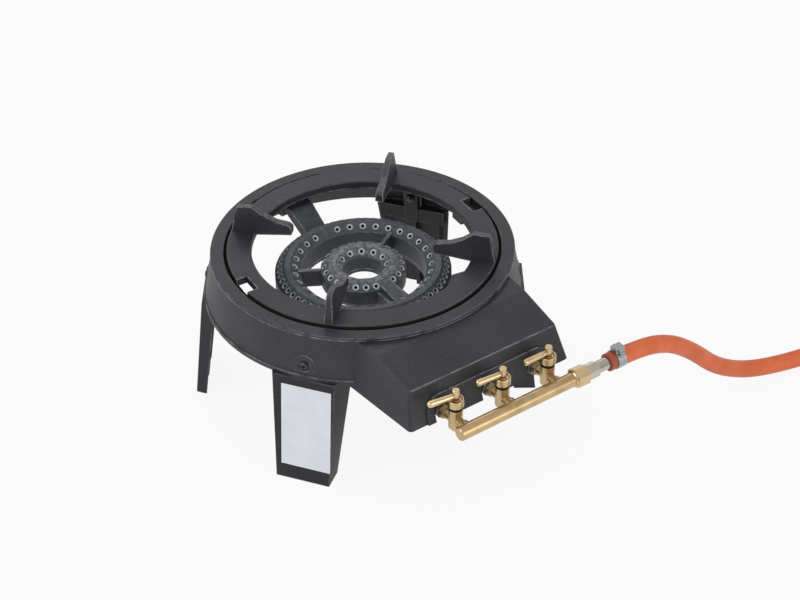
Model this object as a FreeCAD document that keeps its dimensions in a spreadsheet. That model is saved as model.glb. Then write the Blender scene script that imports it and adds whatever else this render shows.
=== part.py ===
import FreeCAD, Part
import math
import os
import re

import Sketcher
from FreeCAD import Vector

# A three-valve wok burner: a cast ring on four legs with a sloping console, a loose pan support,
# a double burner ring, and a brass gas manifold with three lever taps and a hose.
# Lengths are in millimetres and angles in degrees. The burner stands on z = 0, the console faces -Y.

SIZES = {
    "ring_offset": (52.75, "ring axis, behind the middle of the whole burner"),
    "rim_radius": (170, "outside of the flat rim"),
    "rim_height": (185, "top of the rim above the floor"),
    "rim_thickness": (12, "rim, with the ledge under it"),
    "rim_edge": (4, "height of the rim's outer edge"),
    "rim_step": (0.8, "that edge, beyond the side wall"),
    "seat_radius": (154.6, "recess that the pan support drops into"),
    "seat_depth": (7, "depth of that recess"),
    "ledge_width": (6, "ledge that carries the pan support"),
    "band_base": (131, "lower edge of the ring's side wall"),
    "band_flare": (8.5, "how far the side wall leans out"),
    "lip_height": (5, "bead along the lower edge"),
    "lip_proud": (2, "bead, beyond the side wall"),
    "wall": (6, "side wall thickness"),
    "edge_round": (1.6, "small rounding on cast edges"),
    "console_back": (120, "where the console starts inside the ring"),
    "console_bend": (168, "where its top turns down"),
    "console_front": (224.4, "front edge of its top"),
    "console_high": (180, "top where it leaves the ring"),
    "console_low": (169.6, "top at the front edge"),
    "console_base": (128, "lower edge of the console"),
    "console_half": (110.5, "its sides at the top, square from the ring axis"),
    "console_turn": (4.8, "how far its sides turn in towards the front"),
    "console_draft": (13, "how far its sides and front lean out"),
    "console_wall": (5.5, "console wall thickness"),
    "console_corner": (5, "rounding of the front corners"),
    "console_shoulder": (3, "rounding along the top's sides"),
    "arch_half": (82, "half width of the arched face"),
    "arch_top": (156.4, "top of the arched face"),
    "arch_round": (19, "rounding of its upper corners"),
    "arch_proud": (2.2, "how far it stands out"),
    "notch_radius": (12, "opening for each tap outlet"),
    "shelf_inside": (144, "inner end of each burner shelf"),
    "shelf_top": (158, "top of each burner shelf"),
    "shelf_thickness": (8, "burner shelf"),
    "shelf_half": (18, "half width of a burner shelf"),
    "lug_angle": (40, "front burner lugs, from the console"),
    "lug_bolt_radius": (150, "burner bolts, from the ring axis"),
    "leg_angle": (35, "legs, from the side of the ring"),
    "leg_radius": (181, "front of a leg at its top"),
    "leg_half": (35.5, "half width of a leg at its top"),
    "leg_flange": (15, "depth of its sides at the top"),
    "leg_splay": (10.5, "how far they spread at the top"),
    "foot_radius": (197, "front of a leg at the floor"),
    "foot_half": (31, "half width at the floor"),
    "foot_flange": (12, "depth of its sides at the floor"),
    "foot_splay": (4.5, "how far they spread at the floor"),
    "front_flange": (25, "depth of the front legs' sides"),
    "leg_wall": (5, "leg wall thickness"),
    "rib_half": (2.2, "half thickness of the rib behind a leg"),
    "pad_face": (165.5, "flat inside the ring that a leg bolts to"),
    "pad_top": (162, "top of that flat"),
    "tab_thickness": (6, "leg tab behind the ring"),
    "tab_half": (8, "half width of the leg tab"),
    "leg_screw_height": (146, "leg screws above the floor"),
    "leg_screw_radius": (2.4, "M5 screw"),
    "screw_seat": (175.4, "spot face under a screw head"),
    "plate_width": (57, "blank plate on the front left leg"),
    "plate_low": (18, "its lower edge"),
    "plate_high": (121, "its upper edge"),
    "plate_shift": (3.5, "its middle, from the middle of the leg"),
    "support_radius": (151.8, "outside of the pan support"),
    "support_proud": (2, "pan support above the rim"),
    "support_inside": (124, "inside of the pan support"),
    "fin_angle": (42, "first fin of the pan support"),
    "fin_rise": (34, "fin above the rim"),
    "fin_tip": (80.5, "inner tip of a fin"),
    "fin_base_half": (5.5, "half thickness of a fin at its foot"),
    "fin_crest_half": (2.9, "half thickness along its crest"),
    "notch_angle": (-4, "notches in the pan support"),
    "notch_half": (13, "half width of a notch"),
    "notch_floor": (138.5, "inner end of a notch"),
    "burner_base": (130, "underside of the outer burner ring"),
    "inner_base": (135.5, "underside of the inner ring"),
    "burner_top": (160.5, "top of the burner rings"),
    "outer_outside": (99.5, "outer burner ring"),
    "outer_inside": (71, "its inner wall"),
    "inner_outside": (48, "inner burner ring"),
    "inner_inside": (22, "its bore"),
    "burner_wall": (5, "burner ring wall"),
    "port_radius": (2, "flame port"),
    "outer_ports": (32, "port positions round the outer ring's inner slope"),
    "rim_ports": (60, "ports round its outer slope"),
    "inner_ports": (24, "ports round the inner ring's outer slope"),
    "bore_ports": (12, "ports round its inner slope"),
    "cover_thickness": (4, "plates under the burner rings"),
    "web_half": (1.8, "half thickness of a web between the rings"),
    "gas_height": (137, "manifold and tap outlets above the floor"),
    "tap_line": (255.5, "tap stems, in front of the ring axis"),
    "tap_pitch": (60, "from one tap to the next"),
    "pipe_line": (276, "manifold pipe, in front of the ring axis"),
    "pipe_radius": (7.8, "manifold pipe"),
    "pipe_wall": (1.5, "its wall"),
    "pipe_left": (66, "plugged end of the pipe"),
    "pipe_right": (85, "hose end of the pipe"),
    "gas_bore": (2.5, "gas way through a tap"),
    "boss_face": (112, "where the mixing tubes meet the burner"),
    "mouth_line": (206, "open mouth of a mixing tube"),
    "tube_radius": (10.5, "mixing tube"),
    "sleeve_front": (236, "front of the sleeve that holds a tap"),
    "sleeve_back": (219, "back of that sleeve"),
    "spigot_radius": (6, "tap outlet"),
    "stem_radius": (4, "tap stem"),
    "stem_top": (39.5, "top of a stem, above the manifold"),
    "lever_height": (32, "lever above the manifold"),
    "lever_length": (32.5, "lever, from the stem axis"),
    "lever_radius": (3.7, "lever near its end"),
    "running_fit": (0.05, "clearance round a turning stem"),
    "union_start": (77, "brass union on the pipe"),
    "union_round": (2, "round part before its hexagon"),
    "union_flats": (20, "its spanner size"),
    "tail_start": (94.5, "steel hose tail"),
    "tail_flats": (16, "its spanner size"),
    "tail_hex_length": (14.5, "length of its hexagon"),
    "tail_radius": (7, "tail between its hexagon and the hose"),
    "hose_start": (125, "where the hose begins"),
    "hose_radius": (10, "gas hose"),
    "hose_bore": (6.25, "inside of the hose"),
    "supply_flats": (22, "nut at the far end of the hose"),
    "nut_end": (31, "its open end, past the end of the hose"),
    "nut_thread_radius": (8.5, "thread for the gas supply"),
    "screw_clear": (0.3, "clearance round a screw"),
    "press_gap": (0.05, "clearance of a fixed joint"),
    "bolt_radius": (3, "M6 burner bolt"),
    "bolt_flats": (10, "its spanner size"),
    "lug_thickness": (7.5, "burner lug on its shelf"),
    "cover_screw_radius": (1.9, "M4 cover screw"),
    "nut_height": (4, "leg nut"),
    "plate_thickness": (0.4, "blank plate"),
    "tube_bore": (7, "inside of a mixing tube"),
    "way_radius": (5, "gas way into the burner"),
    "way_rise": (4, "that way, above the middle of the tube"),
    "tube_socket": (8.5, "socket for a mixing tube"),
    "socket_depth": (10, "depth of that socket"),
    "thread_radius": (6.8, "thread of the hose tail"),
    "tail_bore": (4, "gas way through the hose tail"),
    "barb_root": (5.5, "hose tail between its barbs"),
    "barb_crest": (6.15, "hose tail over its barbs"),
    "barb_tip": (5.2, "end of the hose tail"),
    "barb_step": (6, "from one barb to the next"),
    "clamp_width": (11, "hose clamp band"),
    "clamp_band_thickness": (0.8, "its band"),
    "barrel_radius": (7.6, "tap body"),
    "barrel_foot": (12, "its foot, below the manifold's axis"),
    "barrel_top": (16.8, "its top, above the manifold's axis"),
    "plug_foot": (4.2, "tapered plug at its foot"),
    "plug_head": (5, "tapered plug at its head"),
    "plug_deep": (9, "foot of the plug, below the manifold's axis"),
    "stop_depth": (3.4, "depth of the pocket for the stop pin"),
    "stop_reach": (6.1, "end of the stop pin"),
    "stop_pin_radius": (1.2, "stop pin"),
    "washer_thickness": (2.4, "washer under the collar"),
    "collar_radius": (8.6, "collar on a tap"),
    "collar_top": (28, "its top, above the manifold's axis"),
}

doc = FreeCAD.newDocument("wok_burner")
sheet = doc.addObject("Spreadsheet::Sheet", "Sizes")
for row, (alias, (amount, note)) in enumerate(SIZES.items(), 1):
    sheet.set(f"A{row}", note)
    sheet.set(f"B{row}", str(amount))
    sheet.setAlias(f"B{row}", alias)
doc.recompute()

nodes = []
places = {}


# Binding to the sheet


def cells(text):
    """An expression with each alias pointed at its cell."""
    return re.sub(r"[a-z_]+", lambda word: f"Sizes.{word[0]}" if word[0] in SIZES else word[0], text)


def number(text):
    """What an expression comes to now."""
    return float(sheet.evalExpression(cells(text)))


def bind(item, path, text):
    item.setExpression(path, cells(text))


def place(item, at, turn):
    """Move an item to a point and turn it about the vertical."""
    places[item.Name] = at
    for axis, text in zip("xyz", at):
        bind(item, f"Placement.Base.{axis}", text)
    bind(item, "Placement.Rotation.Angle", turn)
    return item


def node(item, label):
    """Name a finished piece and move it from the ring axis to the burner's own origin."""
    item.Label = label
    bind(item, "Placement.Base.y", f"{places.get(item.Name, ('0', '0', '0'))[1]} + ring_offset")
    nodes.append(item)
    return item


# Sketched shapes

HERE = ("0", "0", "0")


def origin(body, role):
    return next(feature for feature in body.Origin.OriginFeatures if feature.Role == role)


def draw(body, plane, outline, lift="0", hole=None, own_axis=False):
    """A closed outline whose corners are held by their distances from the origin."""
    sketch = body.newObject("Sketcher::SketchObject", f"{body.Name}_outline")
    sketch.AttachmentSupport = [(origin(body, plane), "")]
    sketch.MapMode = "FlatFace"
    bind(sketch, "AttachmentOffset.Base.z", lift)
    corners = [Vector(number(x), number(y), 0) for x, y in outline]
    count = len(corners)
    for index, corner in enumerate(corners):
        sketch.addGeometry(Part.LineSegment(corner, corners[(index + 1) % count]))
    for index, (x, y) in enumerate(outline):
        sketch.addConstraint(Sketcher.Constraint("Coincident", index, 2, (index + 1) % count, 1))
        for kind, text, axis in (("DistanceX", x, -2), ("DistanceY", y, -1)):
            if text == "0":
                sketch.addConstraint(Sketcher.Constraint("PointOnObject", index, 1, axis))
            else:
                held = sketch.addConstraint(Sketcher.Constraint(kind, -1, 1, index, 1, number(text)))
                bind(sketch, f"Constraints[{held}]", text)
    if hole:
        circle = sketch.addGeometry(Part.Circle(Vector(), Vector(0, 0, 1), number(hole)))
        sketch.addConstraint(Sketcher.Constraint("Coincident", circle, 3, -1, 1))
        held = sketch.addConstraint(Sketcher.Constraint("Radius", circle, number(hole)))
        bind(sketch, f"Constraints[{held}]", hole)
    if own_axis:
        line = sketch.addGeometry(Part.LineSegment(corners[-1], corners[0]), True)
        sketch.addConstraint(Sketcher.Constraint("Coincident", line, 1, count - 1, 1))
        sketch.addConstraint(Sketcher.Constraint("Coincident", line, 2, 0, 1))
    return sketch


def feature(body, kind, sketch):
    made = body.newObject(f"PartDesign::{kind}", f"{body.Name}_{kind.lower()}")
    made.Profile = sketch
    body.Tip = made
    return made


def add_pad(body, plane, outline, depth, lift="0", hole=None, both=False):
    pad = feature(body, "Pad", draw(body, plane, outline, lift, hole))
    pad.SideType = "Symmetric" if both else "One side"
    bind(pad, "Length", depth)
    return body


def padded(name, plane, outline, depth, lift="0", hole=None, both=False, at=HERE, turn="0"):
    """A flat outline given a thickness."""
    body = doc.addObject("PartDesign::Body", name)
    add_pad(body, plane, outline, depth, lift, hole, both)
    return place(body, at, turn)


def turned(name, axis, outline, at=HERE, turn="0"):
    """A half section turned about an axis: (radius, height) about Z, (along, radius) about X or Y."""
    body = doc.addObject("PartDesign::Body", name)
    revolution = feature(body, "Revolution", draw(body, "YZ_Plane" if axis == "Y" else "XZ_Plane", outline))
    revolution.ReferenceAxis = (origin(body, f"{axis}_Axis"), [""])
    revolution.Angle = 360
    return place(body, at, turn)


def rounded(body, radius, wanted):
    """Round the edges of a body that pass a test."""
    doc.recompute()
    base = body.Tip
    names = [f"Edge{index}" for index, edge in enumerate(base.Shape.Edges, 1) if wanted(edge)]
    fillet = body.newObject("PartDesign::Fillet", f"{body.Name}_round")
    fillet.Base = (base, names)
    bind(fillet, "Radius", radius)
    body.Tip = fillet
    return body


def is_circle(edge, radius, height):
    """Whether an edge is the level circle of that radius and height."""
    if not hasattr(edge.Curve, "Radius"):
        return False
    return abs(edge.Curve.Radius - number(radius)) < 0.01 and abs(edge.Curve.Center.z - number(height)) < 0.01


def round_circles(body, radius, circles):
    return rounded(body, radius, lambda edge: any(is_circle(edge, *circle) for circle in circles))


# Solids and how they join


def block(name, xs, ys, zs, turn="0"):
    """A box between two places on each axis, turned about the ring axis."""
    box = doc.addObject("Part::Box", name)
    for side, (low, high) in zip(("Length", "Width", "Height"), (xs, ys, zs)):
        bind(box, side, f"({high}) - ({low})")
    x, y, z = xs[0], ys[0], zs[0]
    east = f"({x}) * cos({turn}) - ({y}) * sin({turn})"
    north = f"({x}) * sin({turn}) + ({y}) * cos({turn})"
    return place(box, (east, north, z), turn)


def post(name, radius, zs, around, turn):
    """An upright cylinder at a distance from the ring axis."""
    cylinder = doc.addObject("Part::Cylinder", name)
    bind(cylinder, "Radius", radius)
    bind(cylinder, "Height", f"({zs[1]}) - ({zs[0]})")
    return place(cylinder, (f"({around}) * cos({turn})", f"({around}) * sin({turn})", zs[0]), turn)


def union(name, *items):
    joined = doc.addObject("Part::MultiFuse", name)
    joined.Shapes = list(items)
    return joined


def chain(name, first, *others):
    """Join many solids one at a time."""
    joined = first
    for other in others:
        step = doc.addObject("Part::Fuse", name)
        step.Base = joined
        step.Tool = other
        step.Refine = False
        joined = step
    return joined


def minus(name, base, *tools):
    cut = doc.addObject("Part::Cut", name)
    cut.Base = base
    cut.Tool = tools[0] if len(tools) == 1 else union(f"{name}_tools", *tools)
    return cut


def common(name, first, second):
    both = doc.addObject("Part::Common", name)
    both.Base = first
    both.Tool = second
    return both


def group(name, items):
    compound = doc.addObject("Part::Compound", name)
    compound.Links = list(items)
    return compound


def hexagon(flats):
    """The corners of a hexagon, two of them on the second axis."""
    half = f"{flats} / 2"
    side = f"{half} * tan(30)"
    point = f"{half} / cos(30)"
    return [
        (half, f"-{side}"),
        (half, side),
        ("0", point),
        (f"-{half}", side),
        (f"-{half}", f"-{side}"),
        ("0", f"-{point}"),
    ]


TAPS = {"left": "-tap_pitch", "middle": "0", "right": "tap_pitch"}
LEGS = {
    "front_left": "180 + leg_angle",
    "front_right": "360 - leg_angle",
    "back_right": "leg_angle",
    "back_left": "180 - leg_angle",
}
LUGS = {"back": "90", "right": "lug_angle - 90", "left": "-90 - lug_angle"}


# Frame casting: ring and console

LEDGE_SIDE = [
    ("rim_radius + band_flare + lip_proud - wall", "band_base"),
    ("rim_radius - wall", "rim_height - rim_thickness"),
    ("seat_radius - ledge_width", "rim_height - rim_thickness"),
    ("seat_radius - ledge_width", "rim_height - seat_depth"),
    ("seat_radius", "rim_height - seat_depth"),
]

band = turned(
    "band",
    "Z",
    [
        ("seat_radius", "rim_height"),
        ("rim_radius", "rim_height"),
        ("rim_radius", "rim_height - rim_edge"),
        ("rim_radius - rim_step", "rim_height - rim_edge"),
        ("rim_radius + band_flare", "band_base + lip_height"),
        ("rim_radius + band_flare + lip_proud", "band_base + lip_height"),
        ("rim_radius + band_flare + lip_proud", "band_base"),
        *LEDGE_SIDE,
    ],
)
round_circles(
    band,
    "edge_round",
    [
        ("rim_radius", "rim_height"),
        ("seat_radius", "rim_height"),
        ("rim_radius + band_flare + lip_proud", "band_base + lip_height"),
    ],
)

ring_well = turned(
    "ring_well",
    "Z",
    [
        ("0", "console_base - wall"),
        ("rim_radius + band_flare + lip_proud - wall", "console_base - wall"),
        *LEDGE_SIDE,
        ("seat_radius", "rim_height + wall"),
        ("0", "rim_height + wall"),
    ],
)


def console_body(name, inset, proud="0", deep="0"):
    """The console's block, its faces set in by a wall or stood out by a step."""
    body = padded(
        name,
        "YZ_Plane",
        [
            ("-console_back", f"console_base - ({deep})"),
            ("-console_back", f"console_high - ({inset})"),
            ("-console_bend", f"console_high - ({inset})"),
            (f"({inset}) - ({proud}) - console_front", f"console_low - ({inset})"),
            (f"({inset}) - ({proud}) - console_front - console_draft", f"console_base - ({deep})"),
        ],
        "2 * (console_half + console_draft)",
        both=True,
    )
    for side, turn in (("", "-console_turn"), ("-", "console_turn")):
        outline = draw(
            body,
            "XZ_Plane",
            [
                (f"{side}(console_half - ({inset}))", "rim_height"),
                (f"{side}(console_half + console_draft - ({inset}))", f"console_base - ({deep})"),
                (f"{side}(console_half + 4 * console_draft)", f"console_base - ({deep})"),
                (f"{side}(console_half + 4 * console_draft)", "rim_height"),
            ],
        )
        outline.AttachmentOffset = FreeCAD.Placement(Vector(), FreeCAD.Rotation(Vector(0, 1, 0), 1))
        bind(outline, "AttachmentOffset.Rotation.Angle", turn)
        spare = feature(body, "Pocket", outline)
        spare.Type = "ThroughAll"
        spare.SideType = "Symmetric"
    return body


def heights(edge):
    return sorted(vertex.Z for vertex in edge.Vertexes)


def on_front_corner(edge):
    low, high = heights(edge)[0], heights(edge)[-1]
    return high - low > 20 and edge.BoundBox.YMax < -number("console_bend")


def on_shoulder(edge):
    low = heights(edge)[0]
    return low > number("arch_top") and edge.BoundBox.YLength > 20 and abs(edge.CenterOfMass.x) > 50


console = console_body("console", "0")
rounded(console, "console_corner", on_front_corner)
rounded(console, "console_shoulder", on_shoulder)
console_hollow = console_body("console_hollow", "console_wall", deep="wall")

arch_shape = padded(
    "arch_shape",
    "XZ_Plane",
    [
        ("-arch_half", "console_base"),
        ("arch_half", "console_base"),
        ("arch_half", "arch_top"),
        ("-arch_half", "arch_top"),
    ],
    "4 * console_draft",
    lift="console_front - console_draft",
)
rounded(
    arch_shape,
    "arch_round",
    lambda edge: edge.BoundBox.YLength > 20 and edge.CenterOfMass.z > number("arch_top") - 1,
)
arch = common("arch", arch_shape, console_body("arch_block", "0", proud="arch_proud"))

frame_shell = minus("frame_shell", union("frame_outside", band, console, arch), ring_well, console_hollow)


def leg_pad(name, angle):
    """The flat inside the ring that a leg's tab bolts to."""
    return padded(
        f"pad_{name}",
        "XZ_Plane",
        [
            ("pad_face", "band_base"),
            ("pad_face", "pad_top"),
            ("pad_face + wall", "pad_top"),
            ("pad_face + wall + lip_height", "band_base"),
        ],
        "2 * tab_half + wall",
        both=True,
        turn=angle,
    )


def burner_shelf(name, angle):
    return block(
        f"shelf_{name}",
        ("shelf_inside", "rim_radius + 1"),
        ("-shelf_half", "shelf_half"),
        ("shelf_top - shelf_thickness", "shelf_top"),
        angle,
    )


def leg_screw_hole(name, angle):
    """A clear hole with a spot face for the head."""
    clear = "leg_screw_radius + screw_clear"
    return turned(
        f"screw_hole_{name}",
        "X",
        [
            ("pad_face - 4 * wall", "0"),
            ("pad_face - 4 * wall", clear),
            ("screw_seat", clear),
            ("screw_seat", "leg_screw_radius * 2.6"),
            ("foot_radius", "leg_screw_radius * 2.6"),
            ("foot_radius", "0"),
        ],
        at=("0", "0", "leg_screw_height"),
        turn=angle,
    )


def tap_notch(name, across):
    """The round-topped opening in the console's lower front edge."""
    near, far = "-console_front - 3 * console_draft", "console_draft - console_front"
    top = turned(
        f"notch_round_{name}",
        "Y",
        [(near, "0"), (near, "notch_radius"), (far, "notch_radius"), (far, "0")],
        at=(across, "0", "gas_height"),
    )
    below = block(
        f"notch_below_{name}",
        (f"{across} - notch_radius", f"{across} + notch_radius"),
        (near, far),
        ("console_base - wall", "gas_height"),
    )
    return [top, below]


BOLT_REACH = ("shelf_top - 2 * shelf_thickness", "rim_height")
frame_solid = union(
    "frame_solid",
    frame_shell,
    *[leg_pad(name, angle) for name, angle in LEGS.items()],
    *[burner_shelf(name, angle) for name, angle in LUGS.items()],
)
node(
    minus(
        "frame",
        frame_solid,
        *[leg_screw_hole(name, angle) for name, angle in LEGS.items()],
        *[
            post(f"shelf_hole_{name}", "bolt_radius + screw_clear", BOLT_REACH, "lug_bolt_radius", angle)
            for name, angle in LUGS.items()
        ],
        *[tool for name, across in TAPS.items() for tool in tap_notch(name, across)],
    ),
    "frame_casting",
)


# Legs, their screws and nuts


def leg_section(front, half, flange, splay):
    """A channel with spread sides and a rib down its middle."""
    right = [
        (front, half),
        (f"{front} - {flange}", f"{half} + {splay}"),
        (f"{front} - {flange}", f"{half} + {splay} - leg_wall"),
        (f"{front} - leg_wall", f"{half} - leg_wall"),
        (f"{front} - leg_wall", "rib_half"),
        (f"{front} - {flange}", "rib_half"),
    ]
    left = [(x, f"-({y})") for x, y in reversed(right)]
    return right + left


def leg(name, angle):
    """A leg, with deeper sides at the front, where it stands nearest the taps."""
    at_front = name.startswith("front")
    flange = "front_flange" if at_front else "leg_flange"
    foot_flange = "front_flange" if at_front else "foot_flange"
    foot_splay = "0" if at_front else "foot_splay"
    bridge_side = "leg_wall / 2" if at_front else "leg_wall"
    body = doc.addObject("PartDesign::Body", f"leg_body_{name}")
    foot = draw(body, "XY_Plane", leg_section("foot_radius", "foot_half", foot_flange, foot_splay))
    top = draw(
        body, "XY_Plane", leg_section("leg_radius", "leg_half", flange, "leg_splay"), lift="band_base"
    )
    channel = feature(body, "AdditiveLoft", foot)
    channel.Sections = [top]
    channel.Ruled = True
    inner = "pad_face - tab_thickness"
    bridge_back = "leg_radius - leg_flange - leg_wall"
    bridge_front = "leg_radius - leg_flange + leg_wall"
    bridge_low = "band_base - 3 * tab_thickness"
    add_pad(
        body,
        "XZ_Plane",
        [
            (bridge_back, bridge_low),
            (bridge_front, bridge_low),
            (bridge_front, "band_base"),
            (bridge_back, "band_base"),
        ],
        f"2 * (leg_half + {bridge_side})",
        both=True,
    )
    add_pad(
        body,
        "XZ_Plane",
        [(inner, bridge_low), ("pad_face", bridge_low), ("pad_face", "pad_top"), (inner, "pad_top")],
        "2 * tab_half",
        both=True,
    )
    rounded(
        body,
        "0.9 * tab_half",
        lambda edge: edge.BoundBox.ZMin > number("pad_top") - 1 and edge.BoundBox.XLength > 1,
    )
    hole = turned(
        f"leg_hole_{name}",
        "X",
        [
            (f"{inner} - wall", "0"),
            (f"{inner} - wall", "leg_screw_radius + screw_clear"),
            ("pad_face + wall", "leg_screw_radius + screw_clear"),
            ("pad_face + wall", "0"),
        ],
        at=("0", "0", "leg_screw_height"),
    )
    return place(minus(f"leg_cut_{name}", body, hole), HERE, angle)


def leg_screw(name, angle):
    """A pan-head screw with a cross recess, pointing at the ring axis."""
    head, crown = "leg_screw_radius * 2.15", "screw_seat + 3.4"
    blank = turned(
        f"screw_blank_{name}",
        "X",
        [
            ("pad_face - 3 * tab_thickness + wall", "0"),
            ("pad_face - 3 * tab_thickness + wall", "leg_screw_radius"),
            ("screw_seat", "leg_screw_radius"),
            ("screw_seat", head),
            ("screw_seat + 1.9", head),
            ("screw_seat + 3", f"{head} * 0.72"),
            (crown, f"{head} * 0.36"),
            (crown, "0"),
        ],
        at=("0", "0", "leg_screw_height"),
        turn=angle,
    )
    slots = [
        block(
            f"screw_slot_{name}_{index}",
            ("screw_seat + 1.6", "screw_seat + 5"),
            (f"-{wide}", wide),
            (f"leg_screw_height - {tall}", f"leg_screw_height + {tall}"),
            angle,
        )
        for index, (wide, tall) in enumerate((("2.6", "0.55"), ("0.55", "2.6")))
    ]
    return minus(f"screw_{name}", blank, *slots)


def leg_nut(name, angle):
    return padded(
        f"nut_{name}",
        "YZ_Plane",
        hexagon("leg_screw_radius * 3.4"),
        "nut_height",
        lift="pad_face - tab_thickness - nut_height",
        hole="leg_screw_radius",
        at=("0", "0", "leg_screw_height"),
        turn=angle,
    )


for name, angle in LEGS.items():
    node(leg(name, angle), f"leg_{name}")
node(group("screws", [leg_screw(name, angle) for name, angle in LEGS.items()]), "leg_screws")
node(group("nuts", [leg_nut(name, angle) for name, angle in LEGS.items()]), "leg_nuts")


def leg_face(height):
    """How far out the front of a leg is at a height."""
    return f"foot_radius - (foot_radius - leg_radius) * {height} / band_base"


node(
    padded(
        "plate",
        "XZ_Plane",
        [
            (leg_face("plate_low"), "plate_low"),
            (f"{leg_face('plate_low')} + plate_thickness", "plate_low"),
            (f"{leg_face('plate_high')} + plate_thickness", "plate_high"),
            (leg_face("plate_high"), "plate_high"),
        ],
        "plate_width",
        lift="-plate_shift - plate_width / 2",
        turn=LEGS["front_left"],
    ),
    "blank_plate",
)


# Pan support: a loose ring with four fins

SUPPORT_TOP = "rim_height + support_proud"
support = turned(
    "support",
    "Z",
    [
        ("support_inside", "rim_height - seat_depth"),
        ("support_inside", SUPPORT_TOP),
        ("support_radius", SUPPORT_TOP),
        ("support_radius", "rim_height - seat_depth"),
    ],
)
round_circles(support, "edge_round", [("support_inside", SUPPORT_TOP), ("support_radius", SUPPORT_TOP)])


def fin(index):
    """A tapered fin that carries the pan, its crest dipping towards the middle."""
    angle = f"fin_angle + {90 * index}"
    root = "rim_height - seat_depth / 2"
    outline = padded(
        f"fin_outline_{index}",
        "XZ_Plane",
        [
            ("support_inside", root),
            ("support_radius - 1", root),
            ("support_radius - 1", SUPPORT_TOP),
            ("support_radius - 8", "rim_height + fin_rise * 0.96"),
            ("support_inside + 2", "rim_height + fin_rise"),
            ("support_inside - 11", "rim_height + fin_rise * 0.72"),
            ("support_inside - 25", "rim_height + fin_rise * 0.53"),
            ("fin_tip + 4", "rim_height + fin_rise * 0.47"),
            ("fin_tip", "rim_height + fin_rise * 0.37"),
            ("fin_tip + 0.5", "rim_height + fin_rise * 0.12"),
            ("support_inside", "rim_height - 1"),
        ],
        "4 * fin_base_half",
        both=True,
    )

    def crest_edge(edge):
        return edge.BoundBox.YLength > 5 and edge.CenterOfMass.z > number("rim_height + fin_rise * 0.3")

    rounded(outline, "1.5 * edge_round", crest_edge)
    taper = padded(
        f"fin_taper_{index}",
        "YZ_Plane",
        [
            ("-fin_base_half", root),
            ("fin_base_half", root),
            ("fin_crest_half", "rim_height + fin_rise + 1"),
            ("-fin_crest_half", "rim_height + fin_rise + 1"),
        ],
        "support_radius",
        lift="fin_tip / 2",
    )
    return place(common(f"fin_{index}", outline, taper), HERE, angle)


def support_notch(index):
    return block(
        f"support_notch_{index}",
        ("notch_floor", "rim_radius"),
        ("-notch_half", "notch_half"),
        ("rim_height - 2 * seat_depth", "rim_height + seat_depth"),
        f"notch_angle + {180 * index}",
    )


def support_lug(index):
    """A lug under the ring, inside the notch."""
    return block(
        f"support_lug_{index}",
        ("support_inside + 0.5", "support_inside + 10"),
        ("-notch_half * 0.7", "notch_half * 0.7"),
        ("rim_height - 2 * seat_depth", "rim_height - seat_depth / 2"),
        f"notch_angle + {180 * index}",
    )


node(
    minus(
        "support_cut",
        union(
            "support_solid",
            support,
            *[fin(index) for index in range(4)],
            *[support_lug(index) for index in range(2)],
        ),
        *[support_notch(index) for index in range(2)],
    ),
    "pan_support",
)


# Burner casting: two hollow rings, open below, with the gas ways and lugs


def ring_shell(name, base, inside, outside, inner_edge, outer_edge, inner_crest, outer_crest):
    """A channel open below, with a slope of ports on each side of its crest."""
    return turned(
        name,
        "Z",
        [
            (inside, base),
            (inside, f"burner_top - {inner_edge}"),
            (f"{inside} + {inner_crest}", "burner_top"),
            (f"{outside} - {outer_crest}", "burner_top"),
            (outside, f"burner_top - {outer_edge}"),
            (outside, base),
            (f"{outside} - burner_wall", base),
            (f"{outside} - burner_wall", f"burner_top - {outer_edge} - 2"),
            (f"{outside} - {outer_crest}", "burner_top - burner_wall"),
            (f"{inside} + {inner_crest}", "burner_top - burner_wall"),
            (f"{inside} + burner_wall", f"burner_top - {inner_edge} - 2"),
            (f"{inside} + burner_wall", base),
        ],
    )


def port_cutters(name, around, height, lean, count, gaps="0", turn="0"):
    """Slanted port bores all round, or with one left out where the row ends."""
    out, deep = "burner_wall", "burner_wall * 1.5"

    def along(distance, off):
        x = f"{around} + ({distance}) * cos({lean}) - ({off}) * sin({lean})"
        y = f"{height} + ({distance}) * sin({lean}) + ({off}) * cos({lean})"
        return (x, y)

    corners = [
        along(out, "0"),
        along(out, "port_radius"),
        along(f"-{deep}", "port_radius"),
        along(f"-{deep}", "0"),
    ]
    body = doc.addObject("PartDesign::Body", name)
    body.AllowCompound = True
    sketch = draw(body, "XZ_Plane", corners, own_axis=True)
    port = feature(body, "Revolution", sketch)
    port.ReferenceAxis = (sketch, ["Axis0"])
    port.Angle = 360
    ports = body.newObject("PartDesign::PolarPattern", f"{name}_pattern")
    ports.Originals = [port]
    ports.Axis = (origin(body, "Z_Axis"), [""])
    bind(ports, "Occurrences", f"{count} - {gaps}")
    bind(ports, "Angle", f"360 * ({count} - 2 * {gaps}) / {count}")
    body.Tip = ports
    return place(body, HERE, turn)


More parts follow.
